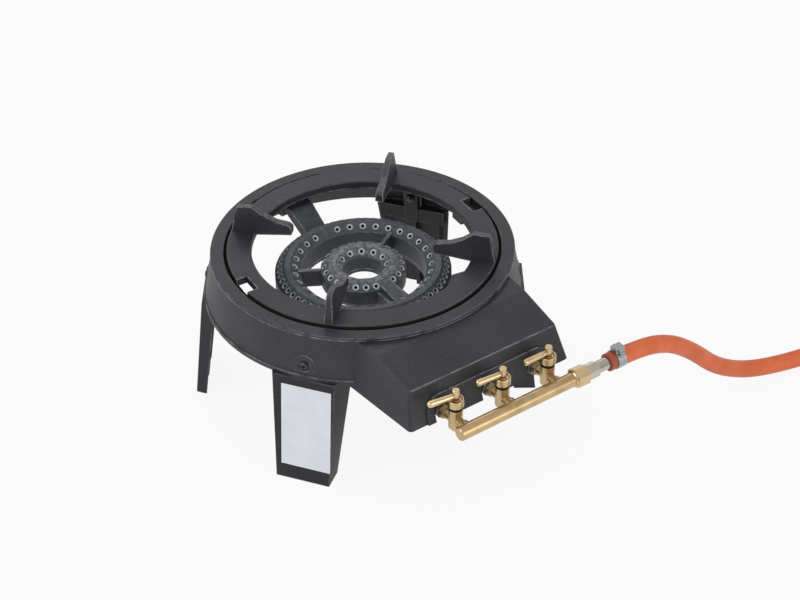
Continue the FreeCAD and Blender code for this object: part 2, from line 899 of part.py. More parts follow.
outer_ring = ring_shell(
    "outer_ring",
    "burner_base",
    "outer_inside",
    "outer_outside",
    inner_edge="8.5",
    outer_edge="9.5",
    inner_crest="11.5",
    outer_crest="11.5",
)
inner_ring = ring_shell(
    "inner_ring",
    "inner_base",
    "inner_inside",
    "inner_outside",
    inner_edge="8.5",
    outer_edge="6.5",
    inner_crest="9",
    outer_crest="8.5",
)
ports = [
    port_cutters(
        "outer_ring_ports",
        around="outer_inside + 6",
        height="burner_top - 4",
        lean="126.5",
        count="outer_ports",
        gaps="1",
        turn="90 + 360 / outer_ports",
    ),
    port_cutters(
        "rim_row_ports",
        around="outer_outside - 5.6",
        height="burner_top - 4.8",
        lean="50.5",
        count="rim_ports",
    ),
    port_cutters(
        "bore_row_ports",
        around="inner_inside + 4.6",
        height="burner_top - 4",
        lean="133.5",
        count="bore_ports",
    ),
    port_cutters(
        "inner_ring_ports",
        around="inner_outside - 4.2",
        height="burner_top - 3.2",
        lean="52.5",
        count="inner_ports",
        gaps="1",
        turn="360 / inner_ports - 90",
    ),
]

inlet_arm = block(
    "inlet_arm",
    ("-13", "13"),
    ("burner_wall / 2 - outer_outside", "burner_wall / 2 - inner_outside"),
    ("burner_base", "burner_top - 8.5"),
)
inlet_crest = padded(
    "inlet_crest",
    "YZ_Plane",
    [
        ("-outer_inside - burner_wall", "burner_base"),
        ("-outer_inside - burner_wall", "burner_top - 6"),
        ("7 - inner_outside", "burner_top - 1"),
        ("7 - inner_outside", "burner_top - burner_wall"),
        ("burner_wall / 2 - inner_outside", "inner_base"),
        ("burner_wall / 2 - inner_outside", "burner_base"),
    ],
    "16",
    both=True,
)


def burner_lug(name, angle):
    """An arm that climbs from the outer ring to its shelf, wider at the shelf."""
    side = padded(
        f"lug_side_{name}",
        "XZ_Plane",
        [
            ("outer_outside - 2.5", "burner_base"),
            ("outer_outside - 2.5", "burner_top - 10.5"),
            ("outer_outside + 28.5", "shelf_top + lug_thickness"),
            ("lug_bolt_radius + 8", "shelf_top + lug_thickness"),
            ("lug_bolt_radius + 8", "shelf_top"),
            ("shelf_inside - 6", "shelf_top"),
            ("outer_outside + 6.5", "burner_base + 10"),
            ("outer_outside + 4.5", "burner_base"),
        ],
        "3 * shelf_half",
        both=True,
    )
    plan = padded(
        f"lug_plan_{name}",
        "XY_Plane",
        [
            ("outer_outside - 5", "shelf_half * 0.72"),
            ("lug_bolt_radius + 10", "shelf_half * 0.95"),
            ("lug_bolt_radius + 10", "-shelf_half * 0.95"),
            ("outer_outside - 5", "-shelf_half * 0.72"),
        ],
        "rim_height",
    )
    return place(common(f"lug_{name}", side, plan), HERE, angle)


def web(name, angle):
    return block(
        f"web_{name}",
        ("inner_outside - 2", "outer_inside + 2"),
        ("-web_half", "web_half"),
        ("inner_base - 3", "burner_top - 6"),
        angle,
    )


def gas_boss(name, across, inner_end):
    """The boss that a mixing tube screws into."""
    return turned(
        f"boss_{name}",
        "Y",
        [
            ("-boss_face", "0"),
            ("-boss_face", "tube_radius + 1"),
            (f"-({inner_end})", "tube_radius + 1"),
            (f"-({inner_end})", "0"),
        ],
        at=(across, "0", "gas_height"),
    )


def gas_way(name, across, inner_end):
    """The socket for a mixing tube, and the way that leads from it into the ring."""
    socket = turned(
        f"socket_{name}",
        "Y",
        [
            ("-boss_face - 1", "0"),
            ("-boss_face - 1", "tube_socket"),
            ("socket_depth - boss_face", "tube_socket"),
            ("socket_depth - boss_face", "0"),
        ],
        at=(across, "0", "gas_height"),
    )
    way = turned(
        f"way_{name}",
        "Y",
        [
            ("socket_depth - boss_face - 1", "0"),
            ("socket_depth - boss_face - 1", "way_radius"),
            (f"-({inner_end})", "way_radius"),
            (f"-({inner_end})", "0"),
        ],
        at=(across, "0", "gas_height + way_rise"),
    )
    return [socket, way]


WAYS = {"left": "outer_inside - 2", "middle": "inner_outside - 8", "right": "outer_inside - 2"}
COVER_SCREWS = {
    "outer": ("(outer_inside + outer_outside) / 2", "burner_base", ["50", "130", "200", "340"]),
    "inner": ("(inner_inside + inner_outside) / 2", "inner_base", ["90", "210", "330"]),
}
cover_bosses = [
    post(f"cover_boss_{ring}_{angle}", "4.5", (base, "burner_top - 3"), around, angle)
    for ring, (around, base, angles) in COVER_SCREWS.items()
    for angle in angles
]
cover_holes = [
    post(
        f"cover_hole_{ring}_{angle}",
        "cover_screw_radius",
        ("console_base - wall", "burner_top - 14"),
        around,
        angle,
    )
    for ring, (around, base, angles) in COVER_SCREWS.items()
    for angle in angles
]
under_rings = post("under_rings", "outer_outside + 0.4", ("console_base - 4 * wall", "burner_base"), "0", "0")
burner_solid = chain(
    "burner_solid",
    outer_ring,
    inner_ring,
    inlet_arm,
    inlet_crest,
    web("left", "150"),
    web("right", "30"),
    *[burner_lug(name, angle) for name, angle in LUGS.items()],
    gas_boss("left", TAPS["left"], "outer_inside"),
    gas_boss("middle", TAPS["middle"], "outer_outside - burner_wall"),
    gas_boss("right", TAPS["right"], "outer_inside"),
    *cover_bosses,
)
burner_bored = minus(
    "burner_bored",
    burner_solid,
    under_rings,
    *[tool for name, across in TAPS.items() for tool in gas_way(name, across, WAYS[name])],
)
node(
    minus(
        "burner",
        minus("burner_ported", burner_bored, *ports),
        *cover_holes,
        *[
            post(f"lug_hole_{name}", "bolt_radius + screw_clear", BOLT_REACH, "lug_bolt_radius", angle)
            for name, angle in LUGS.items()
        ],
    ),
    "burner_casting",
)


# Cover plates under the rings, and what holds the burner together


def cover(ring, inside, outside):
    around, base, angles = COVER_SCREWS[ring]
    under = f"{base} - cover_thickness"
    plate = turned(
        f"cover_{ring}",
        "Z",
        [(inside, under), (inside, base), (outside, base), (outside, under)],
    )
    holes = [
        post(
            f"cover_clear_{ring}_{angle}",
            "cover_screw_radius + screw_clear",
            ("console_base - 4 * wall", "rim_height"),
            around,
            angle,
        )
        for angle in angles
    ]
    return minus(f"cover_cut_{ring}", plate, *holes)


def cover_screw(ring, around, base, angle):
    head_top = f"{base} - cover_thickness"
    return turned(
        f"cover_screw_{ring}_{angle}",
        "Z",
        [
            ("0", f"{head_top} - 2.6"),
            ("3.4", f"{head_top} - 2.6"),
            ("3.6", head_top),
            ("cover_screw_radius", head_top),
            ("cover_screw_radius", "burner_top - 15"),
            ("0", "burner_top - 15"),
        ],
        at=(f"({around}) * cos({angle})", f"({around}) * sin({angle})", "0"),
    )


def burner_bolt(name, angle):
    shank = post(
        f"bolt_shank_{name}",
        "bolt_radius",
        ("shelf_top - shelf_thickness - 7", "shelf_top + lug_thickness + 0.5"),
        "lug_bolt_radius",
        angle,
    )
    head = padded(
        f"bolt_head_{name}",
        "XY_Plane",
        hexagon("bolt_flats"),
        "4",
        lift="shelf_top + lug_thickness",
        at=(f"lug_bolt_radius * cos({angle})", f"lug_bolt_radius * sin({angle})", "0"),
        turn=angle,
    )
    return union(f"bolt_{name}", shank, head)


def burner_nut(name, angle):
    return padded(
        f"bolt_nut_{name}",
        "XY_Plane",
        hexagon("bolt_flats"),
        "5",
        lift="shelf_top - shelf_thickness - 5",
        hole="bolt_radius",
        at=(f"lug_bolt_radius * cos({angle})", f"lug_bolt_radius * sin({angle})", "0"),
        turn=angle,
    )


node(cover("outer", "outer_inside", "outer_outside"), "outer_ring_cover")
node(cover("inner", "inner_inside", "inner_outside - burner_wall / 2 - press_gap"), "inner_ring_cover")
node(
    group(
        "cover_screws_all",
        [
            cover_screw(ring, around, base, angle)
            for ring, (around, base, angles) in COVER_SCREWS.items()
            for angle in angles
        ],
    ),
    "cover_screws",
)
node(group("bolts", [burner_bolt(name, angle) for name, angle in LUGS.items()]), "burner_bolts")
node(group("bolt_nuts", [burner_nut(name, angle) for name, angle in LUGS.items()]), "burner_nuts")


# Mixing tubes: from an open mouth behind each tap to the burner


def mixing_tube(name, across):
    tube = turned(
        f"tube_{name}",
        "Y",
        [
            ("socket_depth - boss_face", "tube_bore"),
            ("socket_depth - boss_face", "tube_socket - press_gap"),
            ("-boss_face", "tube_socket - press_gap"),
            ("-boss_face", "tube_radius"),
            ("21 - mouth_line", "tube_radius"),
            ("6 - mouth_line", "tube_radius + 5"),
            ("-mouth_line", "tube_radius + 5.5"),
            ("-mouth_line", "tube_radius + 3.5"),
            ("8 - mouth_line", "tube_radius + 2"),
            ("26 - mouth_line", "tube_bore"),
        ],
    )
    sleeve = turned(
        f"sleeve_{name}",
        "Y",
        [
            ("-sleeve_front", "spigot_radius + press_gap"),
            ("-sleeve_front", "spigot_radius + 4"),
            ("-sleeve_back", "spigot_radius + 4"),
            ("-sleeve_back", "spigot_radius + press_gap"),
        ],
    )
    arms = [
        block(
            f"yoke_{name}_{side}",
            (f"{offset} - 3.3", f"{offset} + 3.3"),
            ("-sleeve_back - 7", "4 - mouth_line"),
            ("-2.5", "2.5"),
        )
        for side, offset in (("left", "-12.2"), ("right", "12.2"))
    ]
    return place(union(f"mixing_{name}", tube, sleeve, *arms), (across, "0", "gas_height"), "0")


for name, across in TAPS.items():
    node(mixing_tube(name, across), f"mixing_tube_{name}")


# Gas manifold: a plugged brass pipe with a union at the hose end

pipe = turned(
    "pipe",
    "X",
    [
        ("-pipe_left", "pipe_radius - pipe_wall"),
        ("-pipe_left", "pipe_radius"),
        ("pipe_right", "pipe_radius"),
        ("pipe_right", "pipe_radius - pipe_wall"),
    ],
)
pipe_holes = [
    turned(
        f"pipe_hole_{name}",
        "Y",
        [("0", "0"), ("0", "gas_bore"), ("2 * pipe_radius", "gas_bore"), ("2 * pipe_radius", "0")],
        at=(across, "0", "0"),
    )
    for name, across in TAPS.items()
]
ON_PIPE = ("0", "-pipe_line", "gas_height")
node(place(minus("pipe_drilled", pipe, *pipe_holes), ON_PIPE, "0"), "manifold_pipe")

node(
    turned(
        "end_plug",
        "X",
        [
            ("-pipe_left - 5", "0"),
            ("-pipe_left - 5", "pipe_radius - 1.2"),
            ("-pipe_left - 4", "pipe_radius"),
            ("-pipe_left", "pipe_radius"),
            ("-pipe_left", "pipe_radius - pipe_wall - press_gap"),
            ("10 - pipe_left", "pipe_radius - pipe_wall - press_gap"),
            ("10 - pipe_left", "0"),
        ],
        at=ON_PIPE,
    ),
    "manifold_end_plug",
)

union_collar = turned(
    "union_collar",
    "X",
    [
        ("union_start", "pipe_radius"),
        ("union_start", "pipe_radius + 0.6"),
        ("union_start + 1", "pipe_radius + 1.6"),
        ("union_start + union_round + 1", "pipe_radius + 1.6"),
        ("union_start + union_round + 1", "pipe_radius"),
    ],
)
union_hex = padded(
    "union_hex",
    "YZ_Plane",
    hexagon("union_flats"),
    "tail_start - union_start - union_round",
    lift="union_start + union_round",
    hole="thread_radius + press_gap",
)
union_socket = turned(
    "union_socket",
    "X",
    [
        ("union_start - 1", "0"),
        ("union_start - 1", "pipe_radius + press_gap"),
        ("pipe_right + 2", "pipe_radius + press_gap"),
        ("pipe_right + 2", "0"),
    ],
)
node(
    place(minus("union_bored", union("union_solid", union_collar, union_hex), union_socket), ON_PIPE, "0"),
    "manifold_union",
)


# Taps: body, stem, washer, collar, lever, lock nut and injector, drawn about the stem axis


def tap_body(name):
    barrel = turned(
        f"barrel_{name}",
        "Z",
        [
            ("0", "-barrel_foot"),
            ("barrel_radius - 2.5", "-barrel_foot"),
            ("barrel_radius", "4 - barrel_foot"),
            ("barrel_radius", "barrel_top"),
            ("0", "barrel_top"),
        ],
    )
    reach = "pipe_line - tap_line"
    inlet = turned(
        f"inlet_{name}",
        "Y",
        [
            ("0", "0"),
            ("0", "5.6"),
            (f"pipe_radius + 3 - ({reach})", "5.6"),
            (f"pipe_radius + 1 - ({reach})", "7.2"),
            (f"3 - ({reach})", "7.2"),
            (f"3 - ({reach})", "0"),
        ],
    )
    outlet = turned(
        f"outlet_{name}",
        "Y",
        [
            ("0", "0"),
            ("0", "spigot_radius"),
            ("tap_line - sleeve_back", "spigot_radius"),
            ("tap_line - sleeve_back", "0"),
        ],
    )
    plug_bore = turned(
        f"plug_bore_{name}",
        "Z",
        [
            ("0", "-plug_deep"),
            ("plug_foot", "-plug_deep"),
            ("plug_head", "barrel_top"),
            ("plug_head", "barrel_top + 1"),
            ("0", "barrel_top + 1"),
        ],
    )
    way = turned(
        f"tap_way_{name}",
        "Y",
        [
            (f"-({reach})", "0"),
            (f"-({reach})", "gas_bore"),
            ("tap_line - sleeve_back - 7", "gas_bore"),
            ("tap_line - sleeve_back - 7", "3.5"),
            ("tap_line - sleeve_back + 1", "3.5"),
            ("tap_line - sleeve_back + 1", "0"),
        ],
    )
    saddle = turned(
        f"saddle_{name}",
        "X",
        [
            ("-tap_pitch / 4", "0"),
            ("-tap_pitch / 4", "pipe_radius + 0.02"),
            ("tap_pitch / 4", "pipe_radius + 0.02"),
            ("tap_pitch / 4", "0"),
        ],
        at=("0", f"-({reach})", "0"),
    )
    side = "stop_pin_radius * 1.5"
    levels = ("barrel_top - stop_depth", "barrel_top + 1")
    stop_pocket = common(
        f"stop_pocket_{name}",
        post(f"stop_round_{name}", "stop_reach + screw_clear", levels, "0", "0"),
        block(f"stop_quarter_{name}", ("-2 * stop_reach", side), ("-2 * stop_reach", side), levels),
    )
    return minus(
        f"tap_bored_{name}",
        union(f"tap_solid_{name}", barrel, inlet, outlet),
        plug_bore,
        way,
        saddle,
        stop_pocket,
    )


def tap_stem(name, lever_turn):
    """A tapered plug with a cross way, a stop pin and the stem that the lever turns."""
    shoulder = "barrel_top - stop_depth"
    taper = "(plug_head - plug_foot) / (barrel_top + plug_deep)"
    plug = turned(
        f"plug_{name}",
        "Z",
        [
            ("0", "0.2 - plug_deep"),
            ("plug_foot - running_fit", "0.2 - plug_deep"),
            (f"plug_head - stop_depth * {taper} - running_fit", shoulder),
            ("stem_radius", shoulder),
            ("stem_radius", "stem_top - 0.6"),
            ("stem_radius - 0.6", "stem_top"),
            ("1.2", "stem_top"),
            ("0", "stem_top - 0.6"),
        ],
    )
    pin = turned(
        f"stop_pin_{name}",
        "X",
        [("-stop_reach", "0"), ("-stop_reach", "stop_pin_radius"), ("0", "stop_pin_radius"), ("0", "0")],
        at=("0", "0", "barrel_top - stop_pin_radius - 0.4"),
    )
    way = turned(
        f"plug_way_{name}",
        "X",
        [("-10", "0"), ("-10", "gas_bore"), ("10", "gas_bore"), ("10", "0")],
    )
    lever_hole = turned(
        f"lever_hole_{name}",
        "X",
        [("-2 * stem_radius", "0"), ("-2 * stem_radius", "2.22"), ("0", "2.22"), ("0", "0")],
        at=("0", "0", "lever_height"),
        turn=lever_turn,
    )
    return minus(f"stem_cut_{name}", union(f"stem_solid_{name}", plug, pin), way, lever_hole)


def tap_washer(name):
    inside, outside, top = "stem_radius + 0.4", "barrel_radius - 0.6", "barrel_top + washer_thickness"
    return turned(
        f"washer_{name}",
        "Z",
        [(inside, "barrel_top"), (inside, top), (outside, top), (outside, "barrel_top")],
    )


def tap_collar(name):
    """The collar that keeps the stem down, with a groove round the gland in its top."""
    bore = "stem_radius + running_fit"
    under = "barrel_top + washer_thickness"
    return turned(
        f"collar_{name}",
        "Z",
        [
            (bore, under),
            ("collar_radius - 0.5", under),
            ("collar_radius", f"{under} + 0.5"),
            ("collar_radius", "collar_top - 0.6"),
            ("collar_radius - 0.5", "collar_top"),
            ("collar_radius - 1.3", "collar_top"),
            ("collar_radius - 1.4", "collar_top - 3"),
            ("stem_radius + 1.3", "collar_top - 3"),
            ("stem_radius + 1.1", "collar_top - 0.8"),
            (bore, "collar_top - 0.8"),
        ],
    )


def tap_lever(name):
    return turned(
        f"lever_{name}",
        "X",
        [
            ("-0.3", "0"),
            ("-0.3", "2.2"),
            ("-stem_radius - 0.1", "2.2"),
            ("-stem_radius - 0.1", "lever_radius - 0.6"),
            ("3.5 - lever_length", "lever_radius"),
            ("1.6 - lever_length", "lever_radius - 0.4"),
            ("0.5 - lever_length", "lever_radius - 1.3"),
            ("-lever_length", "lever_radius - 2.6"),
            ("-lever_length", "0"),
        ],
    )


def tap_nut(name):
    back = "tap_line - sleeve_front"
    return padded(
        f"tap_nut_{name}",
        "XZ_Plane",
        hexagon("spigot_radius * 2.4"),
        "6.5",
        lift=f"-({back})",
        hole="spigot_radius + press_gap",
    )


def injector(name):
    face = "tap_line - sleeve_back"
    return turned(
        f"injector_{name}",
        "Y",
        [
            (f"{face} - 6.5", "0.6"),
            (f"{face} - 6.5", "3.45"),
            (face, "3.45"),
            (face, "4.6"),
            (f"{face} + 4.5", "4.6"),
            (f"{face} + 6.5", "2.2"),
            (f"{face} + 10.5", "2"),
            (f"{face} + 10.5", "0.6"),
        ],
    )


# Each lever is pressed into its stem by hand, a little off the line of the pipe
LEVER_TURNS = {"left": "-8", "middle": "-5", "right": "0"}
for name, across in TAPS.items():
    axis = (across, "-tap_line", "gas_height")
    lever_at = (across, "-tap_line", "gas_height + lever_height")
    node(place(tap_body(name), axis, "0"), f"tap_body_{name}")
    node(place(tap_stem(name, LEVER_TURNS[name]), axis, "0"), f"tap_stem_{name}")
    node(place(tap_washer(name), axis, "0"), f"tap_washer_{name}")
    node(place(tap_collar(name), axis, "0"), f"tap_collar_{name}")
    node(place(tap_lever(name), lever_at, LEVER_TURNS[name]), f"tap_lever_{name}")
    node(place(tap_nut(name), axis, "0"), f"tap_nut_{name}")
    node(place(injector(name), axis, "0"), f"injector_{name}")


# Hose tail and clamps


def barbs(start, way):
    """Barbs that taper towards the hose, and the tail's end, one way or the other along it."""
    points = []
    for index in range(4):
        foot = f"{start} {way} {index} * barb_step"
        points.append((foot, "barb_root"))
        points.append((foot, "barb_crest"))
    return [*points[1:], (f"{start} {way} 4 * barb_step", "barb_tip")]


tail_turned = turned(
    "tail_turned",
    "X",
    [
        ("tail_start - 7", "tail_bore"),
        ("tail_start - 7", "thread_radius"),
        ("tail_start + 1", "thread_radius"),
        ("tail_start + 1", "tail_radius"),
        ("hose_start", "tail_radius"),
        *barbs("hose_start", "+"),
        ("hose_start + 4 * barb_step", "tail_bore"),
    ],
)
tail_hex = padded(
    "tail_hex", "YZ_Plane", hexagon("tail_flats"), "tail_hex_length", lift="tail_start", hole="tail_bore"
)
node(place(union("tail", tail_turned, tail_hex), ON_PIPE, "0"), "hose_tail")


def clamp_band(name, start):
    """A worm-drive band with its screw housing on top."""
    inside = "hose_radius + press_gap"
    band = turned(
        f"clamp_ring_{name}",
        "X",
        [
            (start, inside),
            (start, f"{inside} + clamp_band_thickness"),
            (f"{start} + clamp_width", f"{inside} + clamp_band_thickness"),
            (f"{start} + clamp_width", inside),
        ],
    )
    housing = block(
        f"clamp_housing_{name}",
        (f"{start} - 0.5", f"{start} + clamp_width + 0.5"),
        ("-5", "5"),
        (f"{inside} + 0.4", f"{inside} + 6.2"),
    )
    opening = turned(
        f"clamp_opening_{name}",
        "Y",
        [("-12", "0"), ("-12", "2.3"), ("12", "2.3"), ("12", "0")],
        at=(f"{start} + clamp_width / 2", "0", f"{inside} + 3.3"),
    )
    hollow = turned(
        f"clamp_hollow_{name}",
        "X",
        [
            (f"{start} - 2", "0"),
            (f"{start} - 2", inside),
            (f"{start} + clamp_width + 2", inside),
            (f"{start} + clamp_width + 2", "0"),
        ],
    )
    return minus(f"clamp_{name}", union(f"clamp_solid_{name}", band, housing), opening, hollow)


def clamp_screw(name, start):
    height = "hose_radius + 3.35"
    screw = turned(
        f"clamp_screw_turned_{name}",
        "Y",
        [
            ("-8", "0"),
            ("-8", "3.1"),
            ("-7.4", "3.5"),
            ("-5.1", "3.5"),
            ("-5.1", "2.25"),
            ("6", "2.25"),
            ("6", "0"),
        ],
        at=(f"{start} + clamp_width / 2", "0", height),
    )
    slot = block(
        f"clamp_slot_{name}",
        (f"{start} + 1", f"{start} + 10"),
        ("-9", "-6.9"),
        (f"{height} - 0.4", f"{height} + 0.4"),
    )
    return minus(f"clamp_screw_{name}", screw, slot)


node(place(clamp_band("inlet", "hose_start + 8"), ON_PIPE, "0"), "inlet_clamp")
node(place(clamp_screw("inlet", "hose_start + 8"), ON_PIPE, "0"), "inlet_clamp_screw")


# Gas hose: it droops to the floor, runs away from the burner and curls round on the floor

HOSE_ROUTE = [
    (125, -276, 137),
    (165, -276, 137),
    (208.7, -276, 126.1),
    (249.1, -276, 96.7),
    (297.7, -276, 46.3),
    (369, -276, 10.6),
    (472, -298, 10.6),
    (536, -362, 10.6),
    (537, -452, 10.6),
    (475, -517, 11.5),
    (386, -524, 13.2),
    (326, -488, 13.2),
]


def hose_path(route):
    """Straight runs joined by the largest tangent arcs that they allow, with the radii."""
    points = [Vector(*point) for point in route]
    edges, radii, start = [], [], points[0]
    for before, corner, after in zip(points, points[1:], points[2:]):
        back, ahead = before - corner, after - corner
        turn = math.pi - back.getAngle(ahead)
        reach = 0.45 * min(back.Length, ahead.Length)
        radii.append(reach / math.tan(turn / 2))
        first = corner + back.normalize() * reach
        last = corner + ahead.normalize() * reach
        inward = (back + ahead).normalize()
        bulge = radii[-1] / math.cos(turn / 2) - radii[-1]
        edges.append(Part.LineSegment(start, first).toShape())
        edges.append(Part.Arc(first, corner + inward * bulge, last).toShape())
        start = last
    edges.append(Part.LineSegment(start, points[-1]).toShape())
    return Part.Wire(edges), radii


def sweep(wire, radius):
    start = Vector(*HOSE_ROUTE[0])
    heading = Vector(*HOSE_ROUTE[1]) - start
    ring = Part.Wire([Part.Circle(start, heading, radius).toShape()])
    return wire.makePipeShell([ring], True, False)


hose_line, bend_radii = hose_path(HOSE_ROUTE)
hose = doc.addObject("Part::Feature", "hose")
hose.Shape = sweep(hose_line, number("hose_radius")).cut(sweep(hose_line, number("hose_bore")))
node(hose, "gas_hose")
hose_section = math.pi * (number("hose_radius") ** 2 - number("hose_bore") ** 2)
print("hose length", round(hose_line.Length, 1), "bend radii", [round(radius) for radius in bend_radii])
print("hose volume", round(hose.Shape.Volume), "section times length", round(hose_section * hose_line.Length))


# What the hose ends in: a tail, a clamp and a union nut for the gas supply

hose_end = Vector(*HOSE_ROUTE[-1])
end_heading = hose_end - Vector(*HOSE_ROUTE[-2])
END_TURN = f"{math.degrees(math.atan2(end_heading.y, end_heading.x)):.4f}"
AT_END = tuple(str(coordinate) for coordinate in hose_end)

node(
    turned(
        "supply_tail_turned",
        "X",
        [
            ("-4 * barb_step", "tail_bore - 0.5"),
            *reversed(barbs("0", "-")),
            ("0", "7.6"),
            ("4", "7.6"),
            ("4", "6"),
            ("12", "6"),
            ("12", "8.4"),
            ("16", "8.4"),
            ("19", "6"),
            ("19", "tail_bore - 0.5"),
        ],
        at=AT_END,
        turn=END_TURN,
    ),
    "supply_tail",
)
nut_hex = padded(
    "nut_hex",
    "YZ_Plane",
    [(y, x) for x, y in hexagon("supply_flats")],
    "nut_end - 8.5",
    lift="8.5",
    hole="6.1",
)
nut_thread = turned(
    "nut_thread",
    "X",
    [
        ("12", "0"),
        ("12", "nut_thread_radius"),
        ("19", "nut_thread_radius"),
        ("19", "nut_thread_radius + 0.5"),
        ("nut_end - 10", "nut_thread_radius + 0.5"),
        ("nut_end - 10", "nut_thread_radius"),
        ("nut_end + 1", "nut_thread_radius"),
        ("nut_end + 1", "0"),
    ],
)
node(place(minus("supply_nut_bored", nut_hex, nut_thread), AT_END, END_TURN), "supply_nut")
node(place(clamp_band("supply", "-18"), AT_END, END_TURN), "supply_clamp")
node(place(clamp_screw("supply", "-18"), AT_END, END_TURN), "supply_clamp_screw")


# Checks, then one file for each piece

doc.recompute()
failed = [item.Label for item in doc.Objects if {"Invalid", "Error"} & set(item.State)]
bad = [item.Label for item in nodes if not item.Shape.isValid() or item.Shape.Volume <= 0]
if failed or bad:
    raise RuntimeError(f"not built: {failed}; bad shapes: {bad}")
os.makedirs("parts", exist_ok=True)
for item in nodes:
    item.Shape.exportStep(f"parts/{item.Label}.step")
    box = item.Shape.optimalBoundingBox(False)
    low = f"{box.XMin:7.1f} {box.YMin:7.1f} {box.ZMin:6.1f}"
    high = f"{box.XMax:7.1f} {box.YMax:7.1f} {box.ZMax:6.1f}"
    content = f"solids {len(item.Shape.Solids)} volume {item.Shape.Volume:8.0f}"
    print(f"{item.Label:22s} {content} from {low} to {high}")
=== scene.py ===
import bpy
import math
from mathutils import Matrix, Vector


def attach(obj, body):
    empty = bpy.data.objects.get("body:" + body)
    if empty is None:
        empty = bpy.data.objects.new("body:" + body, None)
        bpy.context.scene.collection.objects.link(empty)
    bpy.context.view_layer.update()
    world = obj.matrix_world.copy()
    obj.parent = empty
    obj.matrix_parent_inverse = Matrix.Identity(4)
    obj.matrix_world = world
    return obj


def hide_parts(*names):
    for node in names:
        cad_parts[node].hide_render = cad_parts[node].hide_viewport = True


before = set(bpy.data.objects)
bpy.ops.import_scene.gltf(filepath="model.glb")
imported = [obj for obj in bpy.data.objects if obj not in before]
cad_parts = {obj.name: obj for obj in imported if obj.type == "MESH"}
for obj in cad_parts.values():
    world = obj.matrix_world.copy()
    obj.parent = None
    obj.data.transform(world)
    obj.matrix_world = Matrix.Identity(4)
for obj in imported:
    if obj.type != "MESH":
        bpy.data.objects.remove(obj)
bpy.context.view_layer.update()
scene = bpy.context.scene
scene.view_settings.view_transform = "Standard"


# Frame casting: the ring and its sloping console are one piece of sand-cast grey iron.
# It is sprayed satin black, the sand's grain shows through, and the edges are rubbed lighter.
# The recess in the rim, where the pan support stands, is painted black as painted shade.


def add(tree, kind, inputs, **settings):
    """A node with its settings, its inputs given a value or a link."""
    made = tree.nodes.new(kind)
    for name, value in settings.items():
        setattr(made, name, value)
    for name, value in inputs.items():
        if isinstance(value, bpy.types.NodeSocket):
            tree.links.new(value, made.inputs[name])
        else:
            made.inputs[name].default_value = value
    return made


def shader_group(name, inputs, outputs):
    """An empty shader node group with named sockets."""
    tree = bpy.data.node_groups.new(name, "ShaderNodeTree")
    for label, kind, default in inputs:
        socket = tree.interface.new_socket(label, in_out="INPUT", socket_type=kind)
        socket.default_value = default
    for label, kind in outputs:
        tree.interface.new_socket(label, in_out="OUTPUT", socket_type=kind)
    given = tree.nodes.new("NodeGroupInput").outputs
    result = tree.nodes.new("NodeGroupOutput").inputs
    return tree, given, result


def object_place(tree):
    """The place on the piece, in metres."""
    return tree.nodes.new("ShaderNodeTexCoord").outputs["Object"]


def coordinate(tree, place, axis):
    """One coordinate of a place or a direction."""
    return add(tree, "ShaderNodeSeparateXYZ", {0: place}).outputs[axis]


def distance(tree, place, spot, axes):
    """How far a place is from a spot, along the axes that are 1."""
    shift = tuple(-part for part in spot)
    offset = add(tree, "ShaderNodeVectorMath", {0: place, 1: axes, 2: shift}, operation="MULTIPLY_ADD")
    return add(tree, "ShaderNodeVectorMath", {0: offset.outputs[0]}, operation="LENGTH").outputs["Value"]


def noise(tree, place, scale, detail, roughness=0.5):
    """Soft noise over the surface."""
    fields = {"Vector": place, "Scale": scale, "Detail": detail, "Roughness": roughness}
    return add(tree, "ShaderNodeTexNoise", fields).outputs["Fac"]


def spread(tree, value, low, high, to_low, to_high):
    """A value stretched from one range to another and held there."""
    ends = {"Value": value, "From Min": low, "From Max": high, "To Min": to_low, "To Max": to_high}
    return add(tree, "ShaderNodeMapRange", ends).outputs["Result"]


def blend(tree, share, first, second):
    """Two colours mixed by a share."""
    mixed = add(tree, "ShaderNodeMix", {0: share, 6: first, 7: second}, data_type="RGBA")
    return mixed.outputs[2]


def sums(tree, operation, *values):
    """The sum, product or other operation of values."""
    return add(tree, "ShaderNodeMath", dict(enumerate(values)), operation=operation).outputs[0]


def bump(tree, height, relief, strength):
    """The surface's direction, roughened by a height."""
    fields = {"Height": height, "Distance": relief, "Strength": strength}
    return add(tree, "ShaderNodeBump", fields).outputs["Normal"]


cast_skin, given, result = shader_group(
    "Cast skin",
    [
        ("Dark", "NodeSocketColor", (0.02, 0.02, 0.02, 1)),
        ("Light", "NodeSocketColor", (0.05, 0.05, 0.05, 1)),
        ("Grain", "NodeSocketFloat", 400.0),
        ("Specks", "NodeSocketFloat", 0.3),
    ],
    [("Colour", "NodeSocketColor"), ("Roughness", "NodeSocketFloat"), ("Height", "NodeSocketFloat")],
)
bright_speck = (0.42, 0.43, 0.44, 1)
place = object_place(cast_skin)
patches = noise(cast_skin, place, 17.0, 4.0)
grain = noise(cast_skin, place, given["Grain"], 4.0, 0.65)
lumps = noise(cast_skin, place, sums(cast_skin, "MULTIPLY", given["Grain"], 0.28), 2.0)
grit = noise(cast_skin, place, sums(cast_skin, "MULTIPLY", given["Grain"], 1.9), 1.0)
tone = sums(
    cast_skin,
    "ADD",
    spread(cast_skin, patches, 0.35, 0.65, 0.0, 0.55),
    spread(cast_skin, grain, 0.35, 0.65, 0.0, 0.45),
)
base = blend(cast_skin, tone, given["Dark"], given["Light"])
speck = sums(cast_skin, "MULTIPLY", spread(cast_skin, grit, 0.66, 0.76, 0.0, 1.0), given["Specks"])
fine = sums(cast_skin, "MULTIPLY", grain, 0.6)
height = sums(cast_skin, "MULTIPLY_ADD", lumps, 0.55, fine)
cast_skin.links.new(blend(cast_skin, speck, base, bright_speck), result["Colour"])
